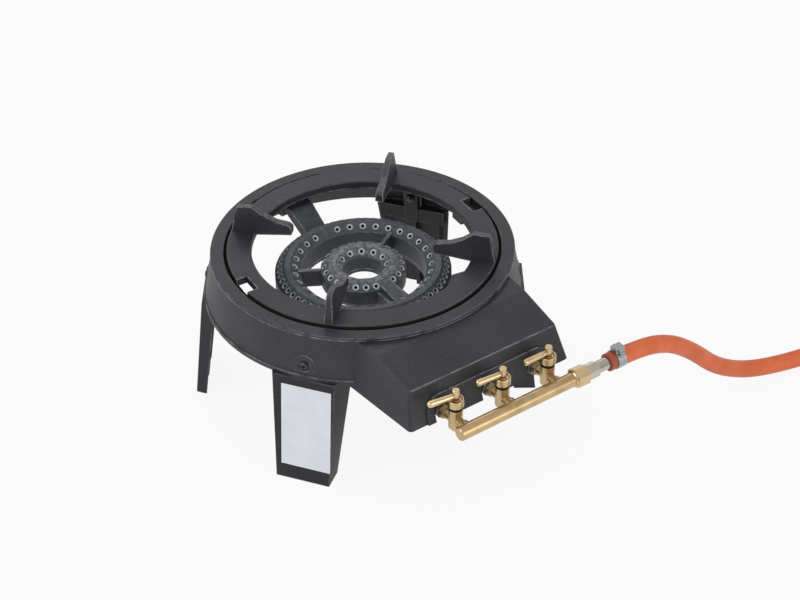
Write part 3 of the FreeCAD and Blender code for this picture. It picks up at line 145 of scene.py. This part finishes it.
cast_skin.links.new(spread(cast_skin, grain, 0.3, 0.7, 0.42, 0.6), result["Roughness"])
cast_skin.links.new(height, result["Height"])

edge_wear, given, result = shader_group(
    "Edge wear",
    [("Width", "NodeSocketFloat", 0.0015), ("Breaks", "NodeSocketFloat", 90.0)],
    [("Mask", "NodeSocketFloat")],
)
depth = add(
    edge_wear,
    "ShaderNodeAmbientOcclusion",
    {"Distance": given["Width"]},
    inside=True,
    only_local=True,
    samples=16,
).outputs["AO"]
patchy = noise(edge_wear, object_place(edge_wear), given["Breaks"], 3.0)
rubbed = sums(
    edge_wear,
    "MULTIPLY",
    spread(edge_wear, depth, 0.95, 0.72, 0.0, 1.0),
    spread(edge_wear, patchy, 0.38, 0.6, 0.08, 1.0),
)
edge_wear.links.new(rubbed, result["Mask"])


def material(name):
    """A material with an empty node tree."""
    made = bpy.data.materials.new(name)
    made.use_nodes = True
    made.node_tree.nodes.clear()
    return made, made.node_tree


def show(tree, shader):
    """Join a shader to the material's output."""
    output = tree.nodes.new("ShaderNodeOutputMaterial")
    tree.links.new(shader.outputs[0], output.inputs["Surface"])


def cast_iron(name, dark, light, worn, grain_size, specks, relief, edge, gloss=0.5):
    """Painted or bare cast iron with its sand grain and rubbed edges."""
    made, tree = material(name)
    shades = {"Dark": dark, "Light": light, "Grain": grain_size, "Specks": specks}
    skin = add(tree, "ShaderNodeGroup", shades, node_tree=cast_skin).outputs
    wear = add(tree, "ShaderNodeGroup", {"Width": edge}, node_tree=edge_wear).outputs["Mask"]
    surface = {
        "Base Color": blend(tree, wear, skin["Colour"], worn),
        "Roughness": skin["Roughness"],
        "Specular IOR Level": gloss,
        "Normal": bump(tree, skin["Height"], relief, 0.7),
    }
    show(tree, add(tree, "ShaderNodeBsdfPrincipled", surface))
    return made


def lay_over(finish, mask, colour):
    """Another colour laid over a finish where a mask says."""
    tree = finish.node_tree
    base = tree.nodes["Principled BSDF"].inputs["Base Color"]
    tree.links.new(blend(tree, mask, base.links[0].from_socket, colour), base)


def band(tree, value, low, high, soft):
    """A mask that is 1 between two values and fades out over a soft edge."""
    rise = spread(tree, value, low - soft, low + soft, 0.0, 1.0)
    fall = spread(tree, value, high - soft, high + soft, 1.0, 0.0)
    return sums(tree, "MULTIPLY", rise, fall)


def paint_black_shade(finish, mask):
    """Black, dull painted shade over a finish where a mask says."""
    shade_black = (0.0015, 0.0015, 0.0015, 1)
    shade_dulling = 0.45
    lay_over(finish, mask, shade_black)
    tree = finish.node_tree
    roughness = tree.nodes["Principled BSDF"].inputs["Roughness"]
    clean = roughness.links[0].from_socket
    tree.links.new(sums(tree, "MULTIPLY_ADD", mask, shade_dulling, clean), roughness)


def dress(finish, *names):
    """Give CAD nodes a finish."""
    for name in names:
        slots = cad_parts[name].data.materials
        slots.clear()
        slots.append(finish)


frame_iron = cast_iron(
    "satin_black_casting",
    dark=(0.0146, 0.0141, 0.0185, 1),
    light=(0.031, 0.0302, 0.0392, 1),
    worn=(0.32, 0.328, 0.34, 1),
    grain_size=420.0,
    specks=0.18,
    relief=0.00065,
    edge=0.0017,
)
ring_axis = (0, 0.05275, 0)
level = (1, 1, 0)
tree = frame_iron.node_tree
place = object_place(tree)
along = coordinate(tree, place, "Y")
above = coordinate(tree, place, "Z")
ring_radius = distance(tree, place, ring_axis, level)

# The paint stays whole low on the arched face and along the ring's lower lip.
face_depths = (-0.172, -0.175)
face_heights = (0.152, 0.148)
arched_face = sums(
    tree,
    "MULTIPLY",
    spread(tree, along, *face_depths, 0.0, 1.0),
    spread(tree, above, *face_heights, 0.0, 1.0),
)
lip_heights = (0.1364, 0.1361)
lip_radii = (0.1782, 0.1785)
lower_lip = sums(
    tree,
    "MULTIPLY",
    spread(tree, above, *lip_heights, 0.0, 1.0),
    spread(tree, ring_radius, *lip_radii, 0.0, 1.0),
)
whole = sums(tree, "MAXIMUM", arched_face, lower_lip)
wear_share = tree.nodes["Principled BSDF"].inputs["Base Color"].links[0].from_node.inputs[0]
worn_places = sums(tree, "SUBTRACT", 1.0, whole)
rubbed = sums(tree, "MULTIPLY", wear_share.links[0].from_socket, worn_places)
tree.links.new(rubbed, wear_share)

# Two edges get a thin broken light line, partly rubbed bare and partly a painted highlight: the
# console's front edge and the lip's outer corner.
bare_and_highlit_iron = (0.24, 0.246, 0.254, 1)
console_edge = (0, -0.17165, 0.1696)
console_line_reach = (0.0004, 0.0012)
off_console_edge = distance(tree, place, console_edge, (0, 1, 1))
console_rub_and_highlight = sums(
    tree,
    "MULTIPLY",
    spread(tree, off_console_edge, *console_line_reach, 1.0, 0.0),
    spread(tree, noise(tree, place, 70.0, 3.0), 0.36, 0.56, 0.25, 0.85),
)
lip_corner = (0.18, 0, 0.1354)
lip_line_reach = (0.0004, 0.0013)
ring_profile = add(tree, "ShaderNodeCombineXYZ", {"X": ring_radius, "Z": above}).outputs[0]
off_lip_corner = distance(tree, ring_profile, lip_corner, (1, 0, 1))
lip_rub_and_highlight = sums(
    tree,
    "MULTIPLY",
    spread(tree, off_lip_corner, *lip_line_reach, 1.0, 0.0),
    spread(tree, noise(tree, place, 60.0, 4.0), 0.44, 0.62, 0.04, 0.6),
)
lay_over(frame_iron, sums(tree, "MAXIMUM", console_rub_and_highlight, lip_rub_and_highlight), bare_and_highlit_iron)

# Painted shade: the recess in the rim is painted nearly black and dull.
recess_radii = (0.1484, 0.1549)
recess_heights = (0.1776, 0.184)
recess = sums(
    tree,
    "MULTIPLY",
    band(tree, ring_radius, *recess_radii, soft=0.0002),
    band(tree, above, *recess_heights, soft=0.0002),
)
paint_black_shade(frame_iron, recess)
dress(frame_iron, "frame_casting")


# Screw bosses: low round bosses cast on the ring's leaning wall, one round each leg screw.
# Their faces lean less than the wall, so they stand out at the top and sink into it lower down.


def geometry_group(name, inputs):
    """An empty geometry node group with named inputs and one geometry output."""
    tree = bpy.data.node_groups.new(name, "GeometryNodeTree")
    tree.interface.new_socket("Geometry", in_out="OUTPUT", socket_type="NodeSocketGeometry")
    for label, kind in inputs:
        tree.interface.new_socket(label, in_out="INPUT", socket_type=kind)
    given = tree.nodes.new("NodeGroupInput").outputs
    result = tree.nodes.new("NodeGroupOutput").inputs
    return tree, given, result


row_sizes = [
    ("Count", "NodeSocketInt"),
    ("First angle", "NodeSocketFloat"),
    ("Step angle", "NodeSocketFloat"),
    ("Row radius", "NodeSocketFloat"),
    ("Row height", "NodeSocketFloat"),
    ("Lean", "NodeSocketFloat"),
]
copies, given, result = geometry_group(
    "Copies round an axis",
    [("Copy", "NodeSocketGeometry"), *row_sizes],
)
index = copies.nodes.new("GeometryNodeInputIndex").outputs[0]
angle = sums(copies, "MULTIPLY_ADD", index, given["Step angle"], given["First angle"])
across = sums(copies, "MULTIPLY", sums(copies, "COSINE", angle), given["Row radius"])
along = sums(copies, "MULTIPLY", sums(copies, "SINE", angle), given["Row radius"])
spot = add(copies, "ShaderNodeCombineXYZ", {"X": across, "Y": along, "Z": given["Row height"]})
spots = add(copies, "GeometryNodePoints", {"Count": given["Count"], "Position": spot.outputs[0]})
tilt = sums(copies, "SUBTRACT", math.pi / 2, given["Lean"])
turn = add(copies, "ShaderNodeCombineXYZ", {"Y": tilt, "Z": angle})
facing = add(copies, "FunctionNodeEulerToRotation", {0: turn.outputs[0]})
row = add(
    copies,
    "GeometryNodeInstanceOnPoints",
    {"Points": spots.outputs[0], "Instance": given["Copy"], "Rotation": facing.outputs[0]},
)
real = add(copies, "GeometryNodeRealizeInstances", {"Geometry": row.outputs[0]})
copies.links.new(real.outputs[0], result[0])


def copied(tree, copy, given):
    """A shape repeated by a tree's own row sizes."""
    sizes = {label: given[label] for label, _ in row_sizes}
    return add(tree, "GeometryNodeGroup", {"Copy": copy, **sizes}, node_tree=copies).outputs[0]


def finished(tree, shape, finish):
    """A shape with its material."""
    return add(tree, "GeometryNodeSetMaterial", {"Geometry": shape, "Material": finish}).outputs[0]


def grown(name, tree, values, shift):
    """The plain mesh that a node tree makes from these values, moved to its place."""
    seed = bpy.data.objects.new(name, bpy.data.meshes.new(f"{name}_seed"))
    scene.collection.objects.link(seed)
    modifier = seed.modifiers.new("grow", "NODES")
    modifier.node_group = tree
    for item in tree.interface.items_tree:
        if item.in_out == "INPUT":
            modifier[item.identifier] = values[item.name]
    bpy.context.view_layer.update()
    mesh = bpy.data.meshes.new_from_object(seed.evaluated_get(bpy.context.evaluated_depsgraph_get()))
    seed.modifiers.clear()
    seed.data = mesh
    mesh.transform(Matrix.Translation(shift))
    return seed


boss_tree, given, result = geometry_group(
    "Screw bosses",
    [
        *row_sizes,
        ("Middle radius", "NodeSocketFloat"),
        ("Width", "NodeSocketFloat"),
        ("Depth", "NodeSocketFloat"),
        ("Rounding", "NodeSocketFloat"),
    ],
)
boss_round = add(
    boss_tree,
    "GeometryNodeCurvePrimitiveCircle",
    {"Resolution": 56, "Radius": given["Middle radius"]},
)
boss_block = add(
    boss_tree,
    "GeometryNodeCurvePrimitiveQuadrilateral",
    {"Width": given["Width"], "Height": given["Depth"]},
)
boss_profile = add(
    boss_tree,
    "GeometryNodeFilletCurve",
    {"Curve": boss_block.outputs[0], "Radius": given["Rounding"], "Count": 3},
    mode="POLY",
)
boss_ring = add(
    boss_tree,
    "GeometryNodeCurveToMesh",
    {"Curve": boss_round.outputs[0], "Profile Curve": boss_profile.outputs[0]},
)
boss_row = copied(boss_tree, boss_ring.outputs[0], given)
boss_tree.links.new(finished(boss_tree, boss_row, frame_iron), result[0])

boss_depth = 0.004
boss_face = 0.1766
for name, first_angle in (("screw_bosses_left_front", 35), ("screw_bosses_right_front", 145)):
    values = {
        "Count": 2,
        "First angle": math.radians(first_angle),
        "Step angle": math.pi,
        "Row radius": boss_face - boss_depth / 2,
        "Row height": 0.146,
        "Lean": math.radians(10.3),
        "Middle radius": 0.0095,
        "Width": 0.006,
        "Depth": boss_depth,
        "Rounding": 0.0012,
    }
    bosses = grown(name, boss_tree, values, ring_axis)
    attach(bosses, "base")


# Legs: four splayed channels cast in the same iron, each bolted to a flat inside the ring.
# Their paint is thicker and duller than the ring's, and less of it is rubbed off; it is also painted
# darker than the ring's as painted shade.

# The legs' colours are the ring's paint made darker, as painted shade.
leg_iron = cast_iron(
    "leg_casting",
    dark=(0.0095, 0.0092, 0.0122, 1),
    light=(0.021, 0.0204, 0.0266, 1),
    worn=(0.085, 0.087, 0.091, 1),
    grain_size=380.0,
    specks=0.12,
    relief=0.00055,
    edge=0.0016,
    gloss=0.34,
)
dress(leg_iron, "leg_front_left", "leg_front_right", "leg_back_right", "leg_back_left")


# Leg screws: blackened pan-head machine screws with a cross recess, one for each leg.
# Each goes through the ring's wall and the leg into a blackened nut behind the leg's tab.


def metal(name, colour, roughness, scratches, relief, metallic=1.0):
    """Bare or plated metal with fine marks in its roughness and surface."""
    made, tree = material(name)
    place = object_place(tree)
    marks = noise(tree, place, scratches, 5.0)
    stains = noise(tree, place, 60.0, 3.0)
    shade = tuple(part * 0.72 for part in colour[:3]) + (1,)
    surface = {
        "Base Color": blend(tree, spread(tree, stains, 0.35, 0.65, 0.0, 0.6), colour, shade),
        "Roughness": spread(tree, marks, 0.3, 0.7, *roughness),
        "Metallic": metallic,
        "Normal": bump(tree, marks, relief, 0.5),
    }
    show(tree, add(tree, "ShaderNodeBsdfPrincipled", surface))
    return made


black_screw = metal(
    "blackened_screw",
    colour=(0.085, 0.085, 0.09, 1),
    roughness=(0.3, 0.5),
    scratches=900.0,
    relief=0.00005,
)
dress(black_screw, "leg_screws", "leg_nuts")


# Blank plate: a thin plain metal plate, painted white and stuck to the front left leg.
# The paint is satin and a little smudged.

plate_white, tree = material("white_plate")
clean_paint = (0.78, 0.8, 0.84, 1)
smudged_paint = (0.72, 0.74, 0.79, 1)
smudge = noise(tree, object_place(tree), 45.0, 4.0)
surface = {
    "Base Color": blend(tree, spread(tree, smudge, 0.35, 0.7, 0.0, 1.0), clean_paint, smudged_paint),
    "Roughness": spread(tree, smudge, 0.3, 0.7, 0.3, 0.42),
}
show(tree, add(tree, "ShaderNodeBsdfPrincipled", surface))
dress(plate_white, "blank_plate")


# Burner: a hollow double ring of bare grey iron, hung by three lugs on the frame's shelves.
# Its flame ports are drilled through small cast bosses and countersunk, which leaves bright rims.
# The inner ring has turned ash grey round its ports.

burner_iron = cast_iron(
    "burner_casting",
    dark=(0.0255, 0.028, 0.0352, 1),
    light=(0.057, 0.062, 0.0755, 1),
    worn=(0.28, 0.295, 0.315, 1),
    grain_size=520.0,
    specks=0.22,
    relief=0.0004,
    edge=0.0016,
)
ash_grey = (0.19, 0.2, 0.216, 1)
ash_radii = (0.034, 0.045)
ash_heights = (0.149, 0.157)
tree = burner_iron.node_tree
place = object_place(tree)
near_flame = sums(
    tree,
    "MULTIPLY",
    spread(tree, distance(tree, place, ring_axis, level), *ash_radii, 1.0, 0.25),
    spread(tree, coordinate(tree, place, "Z"), *ash_heights, 0.0, 1.0),
)
burnt = noise(tree, place, 210.0, 5.0)
ash = sums(tree, "MULTIPLY", near_flame, spread(tree, burnt, 0.38, 0.62, 0.08, 0.9))
lay_over(burner_iron, ash, ash_grey)
dress(burner_iron, "burner_casting", "outer_ring_cover", "inner_ring_cover")

port_rim = metal(
    "drilled_port_rim",
    colour=(0.48, 0.5, 0.54, 1),
    roughness=(0.4, 0.6),
    scratches=1500.0,
    relief=0.00005,
    metallic=0.6,
)
port_tree, given, result = geometry_group(
    "Port bosses",
    [
        *row_sizes,
        ("Boss radius", "NodeSocketFloat"),
        ("Rim radius", "NodeSocketFloat"),
        ("Port radius", "NodeSocketFloat"),
        ("Boss rise", "NodeSocketFloat"),
    ],
)


def open_cone(tree, top, bottom, depth):
    """A cone's side with both ends open."""
    fields = {"Vertices": 16, "Radius Top": top, "Radius Bottom": bottom, "Depth": depth}
    return add(tree, "GeometryNodeMeshCone", fields, fill_type="NONE").outputs["Mesh"]


def lifted(tree, shape, rise):
    """A shape moved along its own axis."""
    shift = add(tree, "ShaderNodeCombineXYZ", {"Z": rise}).outputs[0]
    return add(tree, "GeometryNodeTransform", {"Geometry": shape, "Translation": shift}).outputs[0]


boss_height = sums(port_tree, "MULTIPLY", given["Boss rise"], 2.0)
boss_side = open_cone(port_tree, given["Rim radius"], given["Boss radius"], boss_height)
boss = lifted(port_tree, boss_side, sums(port_tree, "MULTIPLY", given["Boss rise"], -1.0))
sink_depth = sums(port_tree, "MULTIPLY", given["Boss rise"], 0.9)
countersink = open_cone(port_tree, given["Rim radius"], given["Port radius"], sink_depth)
inward = add(port_tree, "GeometryNodeFlipFaces", {"Mesh": countersink}).outputs[0]
rim = lifted(port_tree, inward, sums(port_tree, "MULTIPLY", given["Boss rise"], 0.1))
all_ports = port_tree.nodes.new("GeometryNodeJoinGeometry")
for shape, finish in ((boss, burner_iron), (rim, port_rim)):
    row = copied(port_tree, shape, given)
    port_tree.links.new(finished(port_tree, row, finish), all_ports.inputs[0])
port_tree.links.new(all_ports.outputs[0], result[0])


def port_row(name, count, first_angle, step_angle, row_radius, row_height, lean):
    """One ring of drilled ports, with its angles in degrees."""
    values = {
        "Count": count,
        "First angle": math.radians(first_angle),
        "Step angle": math.radians(step_angle),
        "Row radius": row_radius,
        "Row height": row_height,
        "Lean": math.radians(lean),
        "Boss radius": 0.0043,
        "Rim radius": 0.0037,
        "Port radius": 0.002,
        "Boss rise": 0.0005,
    }
    ports = grown(name, port_tree, values, ring_axis)
    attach(ports, "base")


port_row(
    "ports_outer_ring_inside",
    count=31,
    first_angle=101.25,
    step_angle=11.25,
    row_radius=0.077,
    row_height=0.1565,
    lean=126.5,
)
port_row(
    "ports_outer_ring_outside",
    count=60,
    first_angle=0.0,
    step_angle=6.0,
    row_radius=0.0939,
    row_height=0.1557,
    lean=50.5,
)
port_row(
    "ports_inner_ring_inside",
    count=12,
    first_angle=0.0,
    step_angle=30.0,
    row_radius=0.0266,
    row_height=0.1565,
    lean=133.5,
)
port_row(
    "ports_inner_ring_outside",
    count=23,
    first_angle=-75.0,
    step_angle=15.0,
    row_radius=0.0438,
    row_height=0.1573,
    lean=52.5,
)


# Burner bolts and cover screws: plain zinc-plated hexagon bolts, nuts and pan-head screws.
# The bolts clamp the lugs to the shelves, and the screws hold the cover plates under the rings.

zinc_plate = metal(
    "zinc_plated_steel",
    colour=(0.42, 0.435, 0.46, 1),
    roughness=(0.28, 0.45),
    scratches=1200.0,
    relief=0.00008,
)
dress(zinc_plate, "burner_bolts", "burner_nuts", "cover_screws")


# Mixing tubes: three cast iron tubes from an open mouth behind each tap to the burner.
# They screw into the burner's bosses, and a yoke at the mouth carries the tap's outlet.

dress(burner_iron, "mixing_tube_left", "mixing_tube_middle", "mixing_tube_right")


# Pan support: a loose ring with four fins that the wok stands on, cast and sprayed like the frame.
# The upward faces of the fins' crests are painted lighter: partly scuffs from the wok, partly a painted
# sheen.
# The ring drops into the recess of the frame's rim, and the side that is sunk in it is painted black as
# painted shade.

support_iron = cast_iron(
    "pan_support_casting",
    dark=(0.0143, 0.0138, 0.0183, 1),
    light=(0.0296, 0.0288, 0.0376, 1),
    worn=(0.22, 0.225, 0.235, 1),
    grain_size=460.0,
    specks=0.14,
    relief=0.00042,
    edge=0.0017,
)
# Painted sheen and scuffs: crest faces that look up are painted lighter.
scuffed_and_highlit_iron = (0.1, 0.102, 0.107, 1)
crest_heights = (0.19, 0.2)
crest_levels = (0.5, 0.85)
tree = support_iron.node_tree
place = object_place(tree)
above = coordinate(tree, place, "Z")
facing = tree.nodes.new("ShaderNodeNewGeometry").outputs["Normal"]
crest = sums(
    tree,
    "MULTIPLY",
    spread(tree, above, *crest_heights, 0.0, 1.0),
    spread(tree, coordinate(tree, facing, "Z"), *crest_levels, 0.0, 1.0),
)
crest_patches = spread(tree, noise(tree, place, 130.0, 4.0), 0.36, 0.6, 0.3, 1.0)
lay_over(support_iron, sums(tree, "MULTIPLY", crest, crest_patches), scuffed_and_highlit_iron)

# Painted shade: the side of the ring that sinks into the recess is painted nearly black and dull.
sunken_radii = (0.1513, 0.153)
sunken_heights = (0.177, 0.1864)
sunken_side_shade = sums(
    tree,
    "MULTIPLY",
    band(tree, distance(tree, place, ring_axis, level), *sunken_radii, soft=0.0002),
    band(tree, above, *sunken_heights, soft=0.0003),
)
paint_black_shade(support_iron, sunken_side_shade)
dress(support_iron, "pan_support")


# Gas manifold: a drawn brass pipe with a plug at one end and a turned hexagon union at the hose end.
# The pipe is bright, with fine lines along it from the drawing die.

drawn_brass, tree = material("drawn_brass")
bright_brass = (0.585, 0.42, 0.228, 1)
dull_brass = (0.47, 0.325, 0.165, 1)
place = object_place(tree)
drawn = add(tree, "ShaderNodeMapping", {"Vector": place, "Scale": (0.06, 1.0, 1.0)}).outputs["Vector"]
lines = noise(tree, drawn, 1800.0, 4.0)
tarnish = noise(tree, place, 55.0, 4.0)
surface = {
    "Base Color": blend(tree, spread(tree, tarnish, 0.4, 0.68, 0.0, 1.0), bright_brass, dull_brass),
    "Roughness": spread(tree, lines, 0.3, 0.7, 0.28, 0.42),
    "Metallic": 1.0,
    "Normal": bump(tree, lines, 0.00002, 0.5),
}
show(tree, add(tree, "ShaderNodeBsdfPrincipled", surface))
turned_brass = metal(
    "turned_brass",
    colour=(0.72, 0.55, 0.32, 1),
    roughness=(0.24, 0.38),
    scratches=1600.0,
    relief=0.00001,
)
dress(drawn_brass, "manifold_pipe", "manifold_end_plug")
dress(turned_brass, "manifold_union")


# Taps: each has a forged brass body, a tapered plug with its stem and lever, and a collar.
# The forged bodies are rougher than the turned collars, stems and levers, and darker in a thin band
# at their tops, under the fibre washers.

forged_brass = metal(
    "forged_brass",
    colour=(0.6, 0.44, 0.24, 1),
    roughness=(0.3, 0.46),
    scratches=500.0,
    relief=0.0001,
)
# A thin band at the top of each body, just under the washer, is made dark.
top_band_colour = (0.02, 0.014, 0.008, 1)
top_band_heights = (0.1522, 0.1525)
tree = forged_brass.node_tree
top_band = spread(tree, coordinate(tree, object_place(tree), "Z"), *top_band_heights, 0.0, 1.0)
lay_over(forged_brass, top_band, top_band_colour)

seal_black, tree = material("fibre_seal")
dark_fibre = (0.012, 0.012, 0.012, 1)
light_fibre = (0.04, 0.036, 0.03, 1)
fibre = noise(tree, object_place(tree), 1400.0, 3.0)
surface = {
    "Base Color": blend(tree, fibre, dark_fibre, light_fibre),
    "Roughness": spread(tree, fibre, 0.3, 0.7, 0.6, 0.85),
}
show(tree, add(tree, "ShaderNodeBsdfPrincipled", surface))
for side in ("left", "middle", "right"):
    dress(forged_brass, f"tap_body_{side}", f"tap_nut_{side}")
    dress(turned_brass, f"tap_stem_{side}", f"tap_lever_{side}")
    dress(turned_brass, f"tap_collar_{side}", f"injector_{side}")
    dress(seal_black, f"tap_washer_{side}")


# Hose tail and clamps: a nickel-plated tail with barbs, screwed into the union.
# A zinc-plated worm-drive band holds the hose on it, and the same pieces end the hose at a brass nut.

nickel = metal(
    "nickel_plate",
    colour=(0.6, 0.545, 0.475, 1),
    roughness=(0.08, 0.18),
    scratches=1400.0,
    relief=0.00001,
)
dress(nickel, "hose_tail", "supply_tail")
dress(zinc_plate, "inlet_clamp", "inlet_clamp_screw", "supply_clamp", "supply_clamp_screw")
dress(turned_brass, "supply_nut")


# Gas hose: an orange rubber hose, 20 mm outside and 0.8 m long, that droops from the tail to the floor.
# It runs away from the burner and curls round to its union nut.

pipe_line = -0.22325
pipe_height = 0.137
on_floor = 0.0106
nut_height = 0.0132
hose_route = [
    (0.125, pipe_line, pipe_height),
    (0.165, pipe_line, pipe_height),
    (0.2087, pipe_line, 0.1261),
    (0.2491, pipe_line, 0.0967),
    (0.2977, pipe_line, 0.0463),
    (0.369, pipe_line, on_floor),
    (0.472, -0.24525, on_floor),
    (0.536, -0.30925, on_floor),
    (0.537, -0.39925, on_floor),
    (0.475, -0.46425, 0.0115),
    (0.386, -0.47125, nut_height),
    (0.326, -0.43525, nut_height),
]
hose_radius = 0.01
hose_line = bpy.data.curves.new("gas_hose_line", "CURVE")
hose_line.dimensions = "3D"
hose_line.bevel_depth = hose_radius
hose_line.bevel_resolution = 8
hose_line.use_fill_caps = True
spline = hose_line.splines.new("NURBS")
spline.points.add(len(hose_route) - 1)
for point, spot in zip(spline.points, hose_route):
    point.co = (*spot, 1)
spline.order_u = 3
spline.use_endpoint_u = True
spline.resolution_u = 16
spline.use_smooth = True
hose = bpy.data.objects.new("orange_gas_hose", hose_line)
scene.collection.objects.link(hose)

hose_rubber, tree = material("orange_rubber")
light_rubber = (0.72, 0.154, 0.047, 1)
dark_rubber = (0.62, 0.113, 0.031, 1)
cut_end_rubber = (0.3, 0.06, 0.03, 1)
cut_end_reach = (0.132, 0.142)
place = object_place(tree)
mottle = noise(tree, place, 38.0, 4.0)
skin = noise(tree, place, 900.0, 3.0)
rubber = blend(tree, spread(tree, mottle, 0.35, 0.65, 0.0, 1.0), light_rubber, dark_rubber)
squeezed = spread(tree, coordinate(tree, place, "X"), *cut_end_reach, 0.85, 0.0)
surface = {
    "Base Color": blend(tree, squeezed, rubber, cut_end_rubber),
    "Roughness": spread(tree, skin, 0.3, 0.7, 0.42, 0.58),
    "Normal": bump(tree, skin, 0.0001, 0.5),
}
show(tree, add(tree, "ShaderNodeBsdfPrincipled", surface))
hose_line.materials.append(hose_rubber)
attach(hose, "base")
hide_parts("gas_hose")


# Floor: a plain white floor that runs out of the picture on every side.
# Seen straight, or in metal, it is nearly white, and it keeps a soft shadow under the burner.

floor_half = 30.0
floor_grey = (0.78, 0.78, 0.78, 1)
floor_whiteness = 0.9
corners = [(-1, -1), (1, -1), (1, 1), (-1, 1)]
floor_mesh = bpy.data.meshes.new("floor")
floor_spots = [(x * floor_half, y * floor_half, 0) for x, y in corners]
floor_mesh.from_pydata(floor_spots, [], [range(len(corners))])
floor = bpy.data.objects.new("floor", floor_mesh)
scene.collection.objects.link(floor)
floor_paint, tree = material("pale_floor")
lit = add(
    tree,
    "ShaderNodeBsdfPrincipled",
    {"Base Color": floor_grey, "Roughness": 0.8, "Specular IOR Level": 0.2},
)
white = add(tree, "ShaderNodeEmission", {"Color": (1, 1, 1, 1), "Strength": 1.0})
path = tree.nodes.new("ShaderNodeLightPath").outputs
mirrored = sums(tree, "MAXIMUM", path["Is Glossy Ray"], path["Is Transmission Ray"])
looked_at = sums(tree, "MAXIMUM", path["Is Camera Ray"], mirrored)
whiteness = sums(tree, "MULTIPLY", looked_at, floor_whiteness)
show(tree, add(tree, "ShaderNodeMixShader", {0: whiteness, 1: lit.outputs[0], 2: white.outputs[0]}))
floor_mesh.materials.append(floor_paint)


# Light and camera: a pale room with large soft lights from the left, the front and, weaker, the back.
# The camera looks down on the front left of the burner.

horizon_light = 0.42
overhead_light = 0.78
world = bpy.data.worlds.new("studio")
scene.world = world
world.use_nodes = True
tree = world.node_tree
tree.nodes.clear()
direction = tree.nodes.new("ShaderNodeTexCoord").outputs["Generated"]
sky = spread(tree, coordinate(tree, direction, "Z"), 0.0, 1.0, horizon_light, overhead_light)
background = add(tree, "ShaderNodeBackground", {"Color": (1, 1, 1, 1), "Strength": sky})
room = tree.nodes.new("ShaderNodeOutputWorld")
tree.links.new(background.outputs[0], room.inputs["Surface"])


def softbox(name, spot, size, power):
    """A large soft lamp turned to the burner."""
    burner_middle = Vector((0, 0, 0.12))
    lamp = bpy.data.lights.new(name, "AREA")
    lamp.shape = "RECTANGLE"
    lamp.size, lamp.size_y = size
    lamp.energy = power
    box = bpy.data.objects.new(name, lamp)
    scene.collection.objects.link(box)
    box.location = spot
    box.rotation_euler = (burner_middle - Vector(spot)).to_track_quat("-Z", "Y").to_euler()


softbox("key_light", spot=(-2.0, 0.25, 1.45), size=(1.4, 1.0), power=14.5)
softbox("fill_light", spot=(0.4, -2.1, 0.8), size=(1.2, 0.8), power=12)
softbox("back_light", spot=(0.8, 1.9, 1.5), size=(1.6, 0.6), power=6)

camera_data = bpy.data.cameras.new("camera")
camera_data.sensor_width = 36.0
camera_data.lens = 80.17
camera = bpy.data.objects.new("camera", camera_data)
scene.collection.objects.link(camera)
camera_spot = (-0.8894, -1.30545, 1.3335)
tilt_angle = math.radians(37.09)
round_angle = math.radians(-34.66)
roll = -0.0142
back = Vector((
    math.sin(round_angle) * math.cos(tilt_angle),
    -math.cos(round_angle) * math.cos(tilt_angle),
    math.sin(tilt_angle),
))
right = Vector((0, 0, 1)).cross(back).normalized()
up = back.cross(right)
level_right = math.cos(roll) * right + math.sin(roll) * up
level_up = math.cos(roll) * up - math.sin(roll) * right
axes = Matrix((level_right, level_up, back)).transposed()
camera.matrix_world = Matrix.Translation(camera_spot) @ axes.to_4x4()
scene.camera = camera
